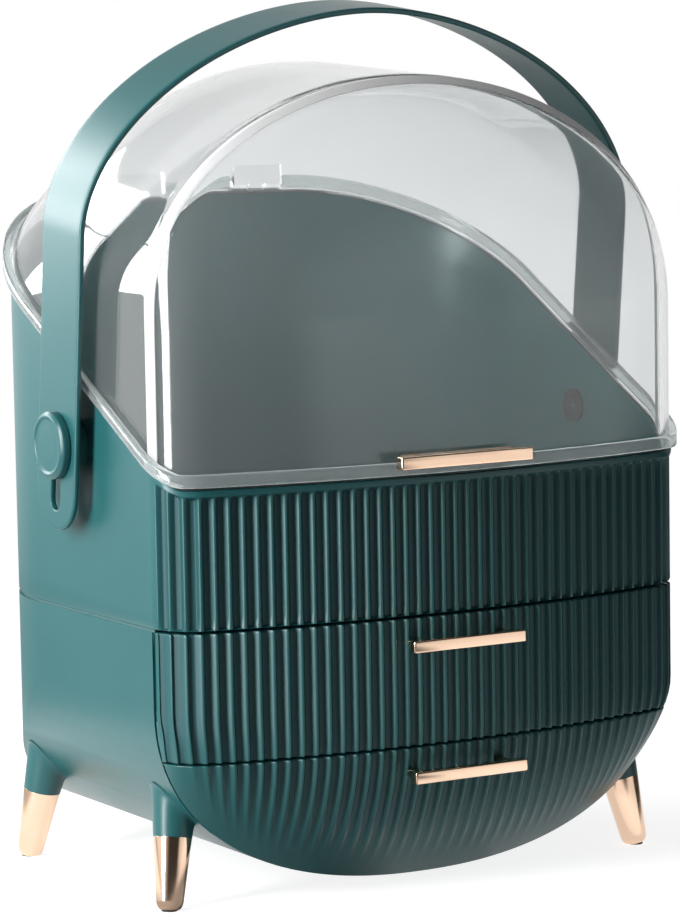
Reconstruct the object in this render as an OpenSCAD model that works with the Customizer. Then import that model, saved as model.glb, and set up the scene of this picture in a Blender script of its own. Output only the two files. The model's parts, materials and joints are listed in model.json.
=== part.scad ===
// Dustproof makeup organizer: a two-drawer casing on four splayed legs, a fluted tray above it,
// a clear domed cover hinged at the back, and a carry handle on two slotted legs.
// Millimetres. X runs across the front, -Y is the front, +Z is up, and the floor is at z = 0.
// The origin is under the middle of the object.

/* [Casing] */
// Width across the side walls
body_w = 300; // [270:1:330]
// Distance from the flat front rim to the back wall
body_d = 220; // [210:1:240]
// How far the front rim lies ahead of the origin
rim_front = 89; // [84:1:94]
// Radius of the two back corners, seen from above
back_r = 94; // [70:1:100]
// Wall of the casing and of the tray
wall = 3; // [2:0.5:4]
// Height at which the side walls start to curve under
belly_top = 103; // [96:1:110]
// Ground clearance at the lowest point of the belly
belly_low = 5; // [4:0.5:8]
// Squareness of the belly curve, 2 being an ellipse
belly_n = 2.25; // [2:0.05:2.6]

/* [Front] */
// Distance from the front rim plane to the corner of the bowed front
front_lip = 18; // [14:1:20]
// Bow of the front between its corners
front_bow = 21; // [12:1:24]
// Number of flutes across the front
flute_count = 42; // [20:1:48]
// Plain strip left at each end of the row of flutes, measured round the corner
flute_margin = 11.6; // [8:0.2:30]
// Share of each pitch that is the raised bar
bar_share = 0.45; // [0.3:0.05:0.6]
// Depth of a flute
flute_depth = 1.8; // [1:0.1:2.5]
// Height at which the lower front starts to curve back
bow_start = 92; // [80:1:100]
// Sharpness with which it curves back
bow_power = 2.25; // [1.8:0.05:2.6]

/* [Levels] */
// Height of the joint between the lower and the upper drawer
drawer_joint = 76.5; // [72:0.5:82]
// Height of the joint between the upper drawer and the tray
tray_joint = 141.5; // [134:0.5:148]
// Open gap at each of these joints
joint_gap = 1.5; // [1:0.1:2.5]
// Height of the tray's rim along the front
rim_z = 210.5; // [200:0.5:220]
// Rise of the rim for each millimetre towards the back
rim_slope = 0.53; // [0.45:0.01:0.56]
// Height of the plain lip above the tray's flutes
lip_h = 4.5; // [3:0.5:8]

/* [Cover] */
// Wall of the clear cover
cover_wall = 2.5; // [2:0.25:3]
// Overhang of the cover's flange beyond the tray
flange_out = 4; // [2:0.5:5]
// Height of the flange
flange_h = 8; // [6:0.5:10]
// Height where the cover's sides start to arch over
arch_z = 299; // [290:1:305]
// Height of the cover's crown
crown_z = 412; // [408:1:416]
// Height where the cover's front starts to curve back
cover_bow_start = 286; // [270:1:296]
// Slope of the cover's ridge towards the front
ridge_slope = 0.055; // [0:0.005:0.1]
// Sharpness of the cover's rounded back, 2 being an ellipse
cover_back_n = 1.5; // [1.4:0.05:1.6]
// How much sooner the sides start to round towards the back than the ridge does
side_lead = 60; // [40:1:90]
// Gap between the closed cover and the tray's rim, which the seal fills
cover_gap = 1.5; // [1:0.1:2]
// Outer radius of the hinge knuckles
knuckle_r = 4.2; // [3.5:0.1:4.4]
// Radius of the hinge pins
hinge_pin_r = 1.5; // [1:0.1:2]
// Distance of each hinge from the middle
hinge_x = 36; // [25:1:40]
// Length of one knuckle
knuckle_w = 10; // [6:1:12]

/* [Handle] */
// Clear space between a side wall and the handle's leg
handle_gap = 8; // [7:0.5:12]
// Width of the handle's band
band_w = 41.5; // [30:0.5:45]
// Thickness of the handle's band
band_t = 3; // [2.5:0.5:4]
// Height of the pivots
pivot_z = 226; // [218:1:232]
// Distance of the pivots ahead of the origin
pivot_front = 12; // [0:1:20]
// Distance from the pivots to the top of the handle
handle_reach = 216; // [210:1:226]
// Length of the arched part, measured down from the top
handle_arch = 108; // [90:1:115]
// Squareness of the handle's arch
handle_n = 1.85; // [1.85:0.05:2.2]
// Forward lean of the handle at rest, in degrees
handle_lean = 6; // [0:1:8]
// Distance from the pivots to the bottom ends of the handle
handle_tail = 43; // [38:1:48]
// Lift of the handle along its slots
handle_lift = 28; // [10:1:30]
// Radius of the pivot pins
pivot_r = 4.9; // [4:0.1:6]
// Radius of the round knobs
knob_r = 17; // [14:0.5:20]
// Thickness of the round knobs
knob_t = 5.2; // [4:0.2:8]

/* [Drawers] */
// Thickness of the drawer walls
box_wall = 2; // [1.5:0.25:3]
// Distance of the drawer boxes inside the side walls' outer faces
box_inset = 16; // [14:0.5:30]
// Travel of the drawers
drawer_travel = 150; // [100:5:155]
// Distance of each runner from the middle
runner_x = 34; // [24:1:38]
// Width of a runner
runner_w = 8; // [5:1:10]
// Running clearance between a drawer and its runners
runner_gap = 0.3; // [0.2:0.1:0.8]

/* [Pulls] */
// Length of the drawer pulls
pull_l = 65; // [50:1:80]
// Length of the cover's pull
cover_pull_l = 76; // [60:1:90]
// Height of a pull's bar
pull_h = 6; // [5:0.5:8]
// Depth of a pull's bar
pull_t = 5.5; // [4:0.5:7]
// Clear space between a drawer pull and the front
pull_stand = 6.5; // [5:0.5:9]
// Distance of a drawer pull below the joint over it
pull_drop = 13; // [10:0.5:20]

/* [Legs] */
// Distance of the feet inside the side walls
foot_side = 11.6; // [8:0.2:20]
// Distance of the front feet behind the flat front rim
foot_front = 10.5; // [8:0.5:20]
// Distance of the back feet ahead of the back wall
foot_back = 52.5; // [48:0.5:62]
// Splay of the legs from upright, in degrees
leg_splay = 12.7; // [8:0.1:16]
// Radius of a leg at the floor
foot_r = 6.6; // [5:0.1:8]
// Radius of a leg at its metal sleeve's top edge
sleeve_r = 9.7; // [8:0.1:11]
// Length of the metal sleeves
sleeve_l = 36; // [20:1:42]
// Wall of the metal sleeves
sleeve_t = 0.9; // [0.5:0.1:1.5]

/* [Hidden] */
$fn = 72;
teal = [0.10, 0.30, 0.31];
gold = [0.93, 0.72, 0.55];
steel = [0.70, 0.70, 0.72];
dark = [0.10, 0.10, 0.11];
clear = [0.86, 0.90, 0.91, 0.35];
far = 400;
fit = 0.05;
curve_steps = 28;
half_w = body_w / 2;
rim_y = -rim_front;
back_y = body_d - rim_front;
corner_x = half_w - back_r;
corner_y = back_y - back_r;
front_r = front_lip;
flat_half = half_w - front_r;
edge_run = flat_half * (1 + 2 / 3 * pow(front_bow * flat_half / (half_w * half_w), 2));
flute_span = 2 * (edge_run + front_r * PI / 2 - flute_margin);
apex_y = rim_y - front_lip - front_bow;
casing_top = tray_joint - joint_gap / 2;
tray_low = tray_joint + joint_gap / 2;
tongue = wall / 2;
belly_b = belly_top - belly_low;
pitch = flute_span / flute_count;
bar_w = pitch * bar_share;
bar_slope = 0.4;
front_back_gap = 0.5;

// Tray, shelf and the screws that join the modules
floor_t = 3;
lip_out = 1;
boss_r = 5;
boss_x = half_w - wall - boss_r;
boss_inset = 12;
boss_ahead = 10;
boss_front_y = rim_y + boss_inset;
boss_back_y = corner_y - boss_ahead;
boss_h = 13;
screw_r = 1.6;
head_r = 3.2;
head_h = 2;
shelf_t = 3;
shelf_top = drawer_joint + 2;
shelf_side = 0.2;
ledge_w = 6;
ledge_h = 3;

// Drawer boxes: clearances to the casing, stops and guides
box_rise = 4;
box_headroom = 12;
lower_box_rise = 18;
box_gap = 0.3;
upper_box_low = shelf_top + box_rise;
upper_box_high = casing_top - box_headroom;
lower_box_low = belly_low + lower_box_rise;
lower_box_high = drawer_joint - box_headroom;
box_front_y = rim_y + box_gap;
box_side = 14;
stop_w = 8;
stop_t = 4;
stop_drop = 8;
stop_gap = 0.5;
stop_x = 90;
stop_inset = 4;
stop_y = rim_y + stop_inset;
runner_short = 10;
guide_inset = 0.5;
tab_rise = 8;
edge_t = 2;
guide_t = 2;
guide_gap = 0.6;
guide_drop = 2.5;

// Cover, hinge and seal
seal_w = 2.4;
seal_in = 0.4;
seal_gap = 0.3;
rim_play = 0.1;
peg_r = 1.2;
peg_x = 22;
peg_drop = 2;
back_rise = 3;
ridge_y = 30;
axis_y = back_y + knuckle_r + 0.6;
axis_z = rim_z + rim_slope * (axis_y + rim_front + front_lip) - knuckle_r - 0.1;
knuckle_gap = 0.3;
pin_play = 0.08;
leaf_t = 2.2;
leaf_h = 11;
leaf_gap = 1;
leaf_play = 1;
leaf_w = 3 * knuckle_w - leaf_play;
cutout_w = 3 * knuckle_w + leaf_play;

// Handle and pivots
leg_in = half_w + handle_gap;
outer_x = leg_in + band_t;
slot_r = pivot_r + 0.1;
pivot_boss_r = 13;
washer_t = 0.6;
washer_gap = 0.15;
boss_end = leg_in - washer_gap - washer_t - 0.05;
bore_r = pivot_r + 0.06;
knob_gap = 0.3;
knob_x = outer_x + knob_gap;
knob_socket = 2.7;
retainer_t = 1.5;
retainer_r = 9;
retainer_x = half_w - wall - 0.2;
spigot_r = 3.4;

// Pulls and their screws
post_r = 2.8;
post_in = 6.5;
post_x = pull_l / 2 - post_in;
post_seat = 0.6;
front_boss_r = 5;
pull_front_y = apex_y - pull_stand - pull_t;
upper_pull_z = tray_joint - pull_drop;
lower_pull_z = drawer_joint - pull_drop;
pull_screw_r = 1.6;
pull_screw_bite = 7;
tab_t = 1.6;
tab_h = 5.4;
tab_short = 12;
tab_w = cover_pull_l - tab_short;

// Legs
foot_x = half_w - foot_side;
pad_r = 4;
pad_thick = 1.2;
leg_l = 74;
leg_top_r = 12.6;
leg_boss_r = 5.5;
leg_boss_h = 7;
leg_shell = 51;
leg_screw_r = 2;
leg_screw_l = 25;
sleeve_seat = 6;

rim_turn = rim_front + front_lip;
function foot_y(front) = front < 0 ? rim_y + foot_front : back_y - foot_back;

function rim_at(y) = rim_z + rim_slope * max(0, y + rim_turn);
function power(v, e) = v <= 0 ? 0 : pow(v, e);

// Front edge in plan, inset by o: a shallow parabola with a quarter round at each end
function bow_y(x, o) =
    let (w = half_w - o, r = front_r - o, past = max(0, abs(x) - (w - r)))
    rim_y - front_bow * (1 - pow(x / w, 2)) - sqrt(max(0, r * r - past * past));
function corner_xs(o, side, last = 75, step = 15) =
    [for (a = [0:step:last]) side * (half_w - o - (front_r - o) * (1 - cos(a)))];

// Distance across (x) of a place that lies s along the front's edge from its middle
function flute_x(s) = sign(s) * (abs(s) < edge_run ? abs(s) * flat_half / edge_run
    : flat_half + front_r * sin((abs(s) - edge_run) / front_r * 180 / PI));
function outer_xs(side) = corner_xs(0, side, acos(1 - (half_w - flute_x(flute_span / 2)) / front_r), 9);
function reverse(v) = [for (i = [len(v) - 1:-1:0]) v[i]];
function plain_xs(o, last = 75, step = 15, n = 24) = let (e = half_w - front_r) concat(
    corner_xs(o, -1, last, step), [for (i = [0:n]) -e + 2 * e * i / n], reverse(corner_xs(o, 1, last, step)));
function cover_xs(o) = plain_xs(o, 66, 22, 16);
function flute_points(i) =
    let (a = -flute_span / 2 + i * pitch + bar_w / 2, b = a + pitch - bar_w)
    [[flute_x(a), 0], [flute_x(a + bar_slope), flute_depth],
        [flute_x(b - bar_slope), flute_depth], [flute_x(b), 0]];
function flute_row() = [for (i = [0:flute_count - 1]) each flute_points(i)];

// Superellipse quarter and arch points
function curve(a, b, n, t) = [a * power(cos(t), 2 / n), b * power(sin(t), 2 / n)];
function belly_half(o, side, last) = [for (i = [0:last])
    let (p = curve(half_w - o, belly_b - o, belly_n, 90 * i / curve_steps)) [side * p[0], belly_top - p[1]]];
function arch(a, b, z) = [for (i = [0:2 * curve_steps])
    let (t = 90 * i / curve_steps, p = curve(a, b, handle_n, min(t, 180 - t)))
    [(t < 90 ? -1 : 1) * p[0], z + p[1]]];

// Lays a flat (x, z) drawing upright and runs it from y0 to y1
module along_y(y0, y1) {
    translate([0, y1, 0]) rotate([90, 0, 0]) linear_extrude(height = y1 - y0) children();
}

// Lays a flat (y, z) drawing upright and runs it across, from -w to w
module along_x(w) {
    translate([-w, 0, 0]) rotate([90, 0, 90]) linear_extrude(height = 2 * w) children();
}

// Plan behind the front rim, inset by o
module back_plan(o, front = rim_y) {
    translate([-half_w + o, front]) square([body_w - 2 * o, corner_y - front]);
    for (side = [-1, 1]) translate([side * corner_x, corner_y]) circle(r = back_r - o);
    translate([-corner_x, corner_y]) square([2 * corner_x, back_r - o]);
}

// Plan of the bowed front, inset by o, back to the plane y = back
module front_plan(o, back = rim_y) {
    polygon(concat([for (x = plain_xs(o)) [x, bow_y(x, o)]], [[half_w - o, back], [-half_w + o, back]]));
}

// Fluted front down to the plane y = back, with a square edge of the given depth at both sides
module fluted_plan(back, edge) {
    left = [for (x = outer_xs(-1)) [x, min(bow_y(x, 0), rim_y - edge)]];
    right = [for (x = reverse(outer_xs(1))) [x, min(bow_y(x, 0), rim_y - edge)]];
    flutes = [for (p = flute_row()) [p[0], bow_y(p[0], 0) + p[1]]];
    polygon(concat(left, flutes, right, [[half_w, back], [-half_w, back]]));
}

module full_plan(o) {
    back_plan(o);
    front_plan(o, rim_y + wall);
}

// Elevation of the casing, inset by o, from its belly up to z
module casing_outline(o, z) {
    polygon(concat(belly_half(o, -1, curve_steps), reverse(belly_half(o, 1, curve_steps - 1)),
        [[half_w - o, z], [-half_w + o, z]]));
}

// Everything above the belly, for pieces whose own sides already end at the casing's width
module above_belly(o) {
    polygon(concat(belly_half(o, -1, curve_steps), reverse(belly_half(o, 1, curve_steps - 1)),
        [[far / 2, belly_top], [far / 2, far / 2], [-far / 2, far / 2], [-far / 2, belly_top]]));
}

module z_slab(z0, z1) {
    translate([-far, -far, z0]) cube([2 * far, 2 * far, z1 - z0]);
}

// Slab that follows the slanted rim, from z0 to z1 above it
module rim_slab(z0, z1) {
    along_x(far) polygon([[-far, rim_z + z0], [-rim_turn, rim_z + z0], [far, rim_at(far) + z0],
        [far, rim_at(far) + z1], [-rim_turn, rim_z + z1], [-far, rim_z + z1]]);
}

module screw(length, r, top_r, top_h) {
    cylinder(h = length, r = r);
    translate([0, 0, -top_h]) cylinder(h = top_h, r = top_r);
}

module at_module_screws() {
    for (side = [-1, 1], y = [boss_front_y, boss_back_y]) translate([side * boss_x, y, 0]) children();
}

// Casing

module casing_block(o, y0, y1, z) {
    intersection() {
        along_y(y0, y1) casing_outline(o, z);
        translate([0, 0, -1]) linear_extrude(height = far) back_plan(o, y0);
    }
}

module leg_place(side, front) {
    translate([side * foot_x, foot_y(front), 0])
        rotate([0, leg_splay, atan2(-front, -side)]) children();
}

module each_leg() {
    for (side = [-1, 1], front = [-1, 1]) leg_place(side, front) children();
}

module lower_casing() {
    color(teal) difference() {
        union() {
            difference() {
                casing_block(0, rim_y, back_y, casing_top);
                casing_block(wall, rim_y - 1, back_y - wall, far / 2);
            }
            difference() {
                intersection() {
                    casing_block(wall - tongue, rim_y, back_y, tray_low);
                    z_slab(casing_top - 1, tray_low);
                }
                casing_block(wall, rim_y - 1, back_y - wall, far / 2);
            }
            intersection() {
                casing_block(wall - 0.1, rim_y + 2, corner_y, tray_low);
                union() {
                    for (side = [-1, 1]) translate([side * (half_w - ledge_w), 0, 0])
                        translate([-ledge_w, rim_y + 2, shelf_top - shelf_t - ledge_h])
                            cube([2 * ledge_w, corner_y - rim_y, ledge_h]);
                    at_module_screws() translate([0, 0, tray_low - boss_h]) cylinder(h = boss_h, r = boss_r);
                    each_leg() translate([0, 0, leg_shell - 8]) cylinder(h = leg_boss_h + 8, r = leg_boss_r);
                }
            }
        }
        at_module_screws() translate([0, 0, tray_low - boss_h - 1])
            cylinder(h = boss_h + 2, r = screw_r + fit);
        each_leg() translate([0, 0, leg_shell - 20]) cylinder(h = 40, r = leg_screw_r + fit);
    }
}

// The two blocks that hang from z = top and stop a drawer
module drawer_stops(top) {
    for (side = [-1, 1]) translate([side * stop_x - stop_w / 2, stop_y, top - stop_drop])
        cube([stop_w, stop_t, stop_drop + 1]);
}

module drawer_shelf() {
    color(teal) intersection() {
        casing_block(wall + shelf_side, rim_y + 0.5, back_y - wall - shelf_side, far / 2);
        z_slab(shelf_top - shelf_t, shelf_top);
    }
    color(teal) drawer_stops(shelf_top - shelf_t);
}

module runner_pair(z0, z1) {
    for (side = [-1, 1]) translate([side * runner_x - runner_w / 2, rim_y + stop_inset, z0])
        cube([runner_w, body_d - wall - runner_short, z1 - z0]);
}

module upper_runners() {
    color(dark) runner_pair(shelf_top, upper_box_low - runner_gap);
}

module lower_runners() {
    color(dark) intersection() {
        runner_pair(belly_low, lower_box_low - runner_gap);
        casing_block(wall, rim_y, back_y - wall, casing_top);
    }
}

// Tray

module tray_body() {
    color(teal) difference() {
        union() {
            difference() {
                intersection() {
                    union() {
                        translate([0, 0, tray_low]) linear_extrude(height = far) back_plan(0);
                        translate([0, 0, tray_low]) linear_extrude(height = rim_z - lip_h - tray_low)
                            fluted_plan(rim_y + wall, 0);
                        translate([0, 0, rim_z - lip_h]) linear_extrude(height = lip_h)
                            front_plan(-lip_out, rim_y + wall);
                    }
                    along_x(far) polygon([[-far, 0], [far, 0], [far, rim_at(far)],
                        [-rim_turn, rim_z], [-far, rim_z]]);
                }
                translate([0, 0, tray_low + floor_t]) linear_extrude(height = far) {
                    back_plan(wall);
                    front_plan(wall + flute_depth, rim_y + wall + 1);
                }
            }
            at_module_screws() translate([0, 0, tray_low]) cylinder(h = floor_t + 7, r = boss_r);
            for (side = [-1, 1]) translate([side * (half_w - wall), -pivot_front, pivot_z])
                rotate([0, side * 90, 0]) cylinder(h = boss_end - half_w + wall, r = pivot_boss_r);
            hinge_knuckles([-1, 1]);
            hinge_webs();
            drawer_stops(tray_low);
        }
        at_module_screws() translate([0, 0, tray_low - 1]) cylinder(h = floor_t + 6, r = screw_r + fit);
        for (side = [-1, 1]) translate([side * (half_w - wall - 5), -pivot_front, pivot_z])
            rotate([0, side * 90, 0]) cylinder(h = boss_end, r = bore_r);
        hinge_bore(pin_play / 2);
    }
}

// Knuckles of both hinges at the places in the list, 0 being the middle one
module hinge_knuckles(places) {
    for (side = [-1, 1], place = places)
        translate([side * hinge_x + (place - 0.5) * knuckle_w + knuckle_gap / 2, axis_y, axis_z])
            rotate([0, 90, 0]) cylinder(h = knuckle_w - knuckle_gap, r = knuckle_r);
}

module hinge_webs() {
    for (side = [-1, 1], place = [-1, 1])
        translate([side * hinge_x + (place - 0.5) * knuckle_w + knuckle_gap / 2,
            back_y - 1, axis_z - knuckle_r])
            cube([knuckle_w - knuckle_gap, axis_y - back_y + 1, knuckle_r]);
}

module hinge_bore(play) {
    for (side = [-1, 1]) translate([side * hinge_x - 2 * knuckle_w, axis_y, axis_z])
        rotate([0, 90, 0]) cylinder(h = 4 * knuckle_w, r = hinge_pin_r + play);
}

module hinge_pins() {
    color(steel) for (side = [-1, 1]) translate([side * hinge_x - 1.5 * knuckle_w, axis_y, axis_z])
        rotate([0, 90, 0]) cylinder(h = 3 * knuckle_w, r = hinge_pin_r);
}

module module_screws() {
    color(steel) at_module_screws() translate([0, 0, tray_low - boss_h])
        screw(boss_h + floor_t + 4, screw_r, head_r, head_h);
}

module friction_washers() {
    color(dark) for (side = [-1, 1]) translate([side * boss_end, -pivot_front, pivot_z])
        rotate([0, side * 90, 0]) difference() {
            cylinder(h = washer_t, r = pivot_boss_r - 1);
            translate([0, 0, -1]) cylinder(h = 3, r = pivot_r + 0.3);
        }
}

// Legs

module leg(side, front) {
    color(teal) difference() {
        leg_place(side, front) union() {
            translate([0, 0, sleeve_l]) cylinder(h = leg_l - sleeve_l, r1 = sleeve_r, r2 = leg_top_r);
            translate([0, 0, sleeve_seat]) cylinder(h = sleeve_l - sleeve_seat + 0.01,
                r1 = foot_r - sleeve_t - fit, r2 = sleeve_r - sleeve_t - fit);
        }
        casing_block(-fit, rim_y, back_y, casing_top);
        leg_place(side, front) translate([0, 0, leg_shell - 20]) cylinder(h = 40, r = leg_screw_r + fit);
    }
}

module sleeve(side, front) {
    color(gold) difference() {
        intersection() {
            leg_place(side, front) rotate_extrude() difference() {
                polygon([[0, -4], [foot_r - 1.2, -4], [foot_r, 2.5],
                    [sleeve_r, sleeve_l - fit], [0, sleeve_l - fit]]);
                polygon([[0, sleeve_seat - fit], [foot_r - sleeve_t, sleeve_seat - fit],
                    [sleeve_r - sleeve_t, sleeve_l], [0, sleeve_l]]);
            }
            z_slab(pad_thick - 0.5, far);
        }
        translate([side * foot_x, foot_y(front), 0]) cylinder(h = pad_thick + fit, r = pad_r + fit);
    }
}

module foot_pads() {
    color(dark) for (side = [-1, 1], front = [-1, 1])
        translate([side * foot_x, foot_y(front), 0]) cylinder(h = pad_thick, r = pad_r);
}

module leg_screws() {
    color(steel) each_leg() translate([0, 0, leg_shell + leg_boss_h]) rotate([180, 0, 0])
        screw(leg_screw_l, leg_screw_r, 2 * leg_screw_r, 2.4);
}

// Drawers

// Tub with a flat bottom at z0, inset by o more than the drawer's outside
module tub(o, z0, z1, front) {
    intersection() {
        along_y(front, back_y) casing_outline(box_side + o, far / 2);
        linear_extrude(height = far) back_plan(box_inset + o, front);
        z_slab(z0, z1);
    }
}

module drawer_box(z0, z1, pull_z) {
    tab_y = stop_y + stop_t + stop_gap + drawer_travel;
    difference() {
        union() {
            difference() {
                tub(0, z0, z1, box_front_y);
                tub(box_wall, z0 + box_wall, far, box_front_y + box_wall);
            }
            intersection() {
                tub(guide_inset, z0 + guide_inset, z1 + tab_rise, box_front_y + guide_inset);
                translate([-far, tab_y, z0]) cube([2 * far, box_wall, z1 - z0]);
            }
            for (side = [-1, 1]) translate([side * stop_x - stop_w / 2, tab_y, z1 - 6])
                cube([stop_w, box_wall, tab_rise + 6]);
            for (side = [-1, 1], edge = [-1, 1])
                translate([side * runner_x + edge * (runner_w / 2 + guide_gap + guide_t / 2) - guide_t / 2,
                    box_front_y, z0 - guide_drop])
                    cube([guide_t, corner_y - box_front_y, guide_drop + box_wall / 2]);
        }
        at_pull_screws(pull_z, box_front_y - 1) cylinder(h = box_wall + 2, r = pull_screw_r + fit);
    }
}

// Stands the children's Z axis along +Y at both pull screws of the drawer front at height z
module at_pull_screws(z, y) {
    for (side = [-1, 1]) translate([side * post_x, y, z]) rotate([-90, 0, 0]) children();
}

module upper_drawer_box() {
    color(teal) drawer_box(upper_box_low, upper_box_high, upper_pull_z);
}

module lower_drawer_box() {
    color(teal) drawer_box(lower_box_low, lower_box_high, lower_pull_z);
}

// Bosses behind a drawer front, their screw holes and the seats of the pull's posts
module front_fixings(z, face_y) {
    difference() {
        union() {
            children();
            at_pull_screws(z, face_y + flute_depth + wall / 2)
                cylinder(h = box_front_y - face_y - flute_depth - wall / 2, r = front_boss_r);
        }
        at_pull_screws(z, face_y) cylinder(h = box_front_y - face_y + 1, r = pull_screw_r + fit);
        at_pull_screws(z, face_y - post_r) cylinder(h = post_r + flute_depth + post_seat, r = post_r + fit);
    }
}

module upper_drawer_front() {
    low = drawer_joint + joint_gap / 2;
    high = tray_joint - joint_gap / 2;
    color(teal) front_fixings(upper_pull_z, upper_face_y) difference() {
        intersection() {
            translate([0, 0, low]) linear_extrude(height = high - low)
                fluted_plan(rim_y - front_back_gap, edge_t);
            along_y(-far, far) above_belly(0);
        }
        intersection() {
            translate([0, 0, low + wall]) linear_extrude(height = high - low - 2 * wall)
                front_plan(wall + flute_depth, rim_y + 1);
            along_y(-far, far) above_belly(wall + flute_depth);
        }
    }
}

// Belly height at x and front surface at (x, z), both inset by o
function belly_z(x, o) = belly_top - (belly_b - o)
    * power(1 - power(min(1, abs(x) / (half_w - o)), belly_n), 1 / belly_n);
function belly_w(z, o) = (half_w - o)
    * power(1 - power(min(1, max(0, (belly_top - z) / (belly_b - o))), belly_n), 1 / belly_n);
function lower_y(x, z, o) =
    let (k = max(0, min(1, (bow_start - z) / (bow_start - belly_z(x, o)))), base = rim_y - edge_t)
    min(base, base - (base - bow_y(x, o)) * (1 - pow(k, bow_power)));

// A flute's centre line at u = -1..1 across the front closes in below the widest level
fan_p = 4;
fade_h = 8;
band_h = 5;
lower_rows = 8;
function fan_end(u, o) = let (a = abs(u))
    (half_w - o) * (a > 0.9999 ? fan_p / (fan_p + 1) : a * (1 - pow(a, fan_p)) / (1 - pow(a, fan_p + 1)));
function fan_x(u, z, o) = (half_w - o) * u * (1 - (1 - belly_w(z, o) / (half_w - o)) * pow(abs(u), fan_p));
function fan_point(u, dip, v, top, o) =
    let (z = top + (belly_z(fan_end(u, o), o) - top) * v, x = fan_x(u, z, o),
        fade = max(0, min(1, (z - belly_z(x, o) - band_h) / fade_h)))
    [x, v > 0.999 ? rim_y - edge_t : min(rim_y - edge_t, lower_y(x, z, o) + dip * fade), z];

// Solid between the lower front's surface and the plane y = back; cols holds [u, dip] pairs
module lower_front_solid(cols, top, o, back) {
    n = len(cols);
    m = lower_rows;
    grid = [for (c = cols, j = [0:m]) fan_point(c[0], c[1], j / m, top, o)];
    left = [for (j = [0:m]) j];
    foot = [for (i = [1:n - 2]) i * (m + 1) + m];
    right = [for (j = [m:-1:0]) (n - 1) * (m + 1) + j];
    ring = concat(left, foot, right);
    count = len(ring);
    base = len(grid);
    rear = [for (i = ring) [grid[i][0], back, grid[i][2]]];
    skin = [for (i = [0:n - 2], j = [0:m - 1]) let (a = i * (m + 1) + j, b = a + m + 1)
        each [[a, b, a + 1], [b, b + 1, a + 1]]];
    rim = [for (i = [0:count - 2])
        each [[ring[i], ring[i + 1], base + i], [ring[i + 1], base + i + 1, base + i]]];
    top_face = concat([for (i = [n - 1:-1:0]) i * (m + 1)], [base, base + count - 1]);
    back_face = [for (i = [0:count - 1]) base + i];
    polyhedron(points = concat(grid, rear), faces = concat(skin, rim, [top_face, back_face]), convexity = 6);
}

function flute_cols() = concat(
    [for (x = outer_xs(-1)) [x / half_w, 0]],
    [for (p = flute_row()) [p[0] / half_w, p[1]]],
    [for (x = reverse(outer_xs(1))) [x / half_w, 0]]);
function plain_cols(o) = [for (x = plain_xs(o)) [x / (half_w - o), 0]];

module lower_drawer_front() {
    top = drawer_joint - joint_gap / 2;
    inner = wall + flute_depth;
    color(teal) front_fixings(lower_pull_z, lower_face_y) difference() {
        lower_front_solid(flute_cols(), top, 0, rim_y - front_back_gap);
        lower_front_solid(plain_cols(inner), top - wall, inner, rim_y + 1);
    }
}

// Pulls

upper_face_y = bow_y(post_x, 0);
lower_face_y = lower_y(post_x, lower_pull_z, 0);

module rounded(w, h, r) {
    square([w - 2 * r, h], center = true);
    square([w, h - 2 * r], center = true);
    for (x = [-1, 1], y = [-1, 1]) translate([x * (w / 2 - r), y * (h / 2 - r)]) circle(r = r);
}

module drawer_pull(z, face_y) {
    seat_y = face_y + flute_depth + post_seat;
    back = pull_front_y + pull_t;
    color(gold) difference() {
        union() {
            translate([0, pull_front_y + pull_t / 2, z]) rotate([90, 0, 90])
                linear_extrude(height = pull_l, center = true) rounded(pull_t, pull_h, 1);
            at_pull_screws(z, back - 1) cylinder(h = seat_y - back + 1, r = post_r);
        }
        at_pull_screws(z, seat_y - pull_screw_bite - 0.5) cylinder(h = 20, r = pull_screw_r + fit);
    }
}

module pull_screws(z, face_y) {
    length = box_front_y + box_wall - face_y - flute_depth - post_seat + pull_screw_bite;
    color(steel) at_pull_screws(z, box_front_y + box_wall) rotate([180, 0, 0])
        screw(length, pull_screw_r, 2 * pull_screw_r, 1.6);
}

module upper_drawer_pull() { drawer_pull(upper_pull_z, upper_face_y); }

module lower_drawer_pull() { drawer_pull(lower_pull_z, lower_face_y); }

module upper_pull_screws() { pull_screws(upper_pull_z, upper_face_y); }

module lower_pull_screws() { pull_screws(lower_pull_z, lower_face_y); }

// Cover

// Ridge height over the middle, arch share at x, and the plan's back edge at x, inset by o
function ridge(y, o) = crown_z - o - ridge_slope * max(0, ridge_y - y);
function arch_share(x, o) = sqrt(max(0, 1 - pow(x / (half_w - o), 2)));
function plan_back(x, o) = let (e = max(0, abs(x) - corner_x))
    corner_y + sqrt(max(0, pow(back_r - o, 2) - e * e));
function roof(x, y, o) = arch_z + (ridge(y, o) - arch_z) * arch_share(x, o);
front_steps = 7;
roof_steps = 4;
back_steps = 8;

// One section of the cover at x, from the bottom of its front over the top to the bottom of its back
function cover_section(x, o) =
    let (base = rim_y - edge_t, front = min(base, bow_y(x, o)), front_top = roof(x, rim_y, o),
        turn = ridge_y - side_lead * pow(x / (half_w - o), 2), top = roof(x, turn, o),
        back = plan_back(x, o), back_low = min(top, rim_at(back) + back_rise))
    concat([[x, front, rim_at(front) + cover_gap]],
        [for (i = [0:front_steps]) let (k = i / front_steps)
            [x, base - (base - front) * (1 - pow(k, bow_power)),
                cover_bow_start + (front_top - cover_bow_start) * k]],
        [for (i = [1:roof_steps]) let (y = rim_y + (turn - rim_y) * i / roof_steps) [x, y, roof(x, y, o)]],
        [for (i = [1:back_steps]) let (t = 90 * i / back_steps, q = 2 / cover_back_n)
            [x, turn + (back - turn) * power(sin(t), q), back_low + (top - back_low) * power(cos(t), q)]],
        [[x, back, rim_at(back) + cover_gap]]);

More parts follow.
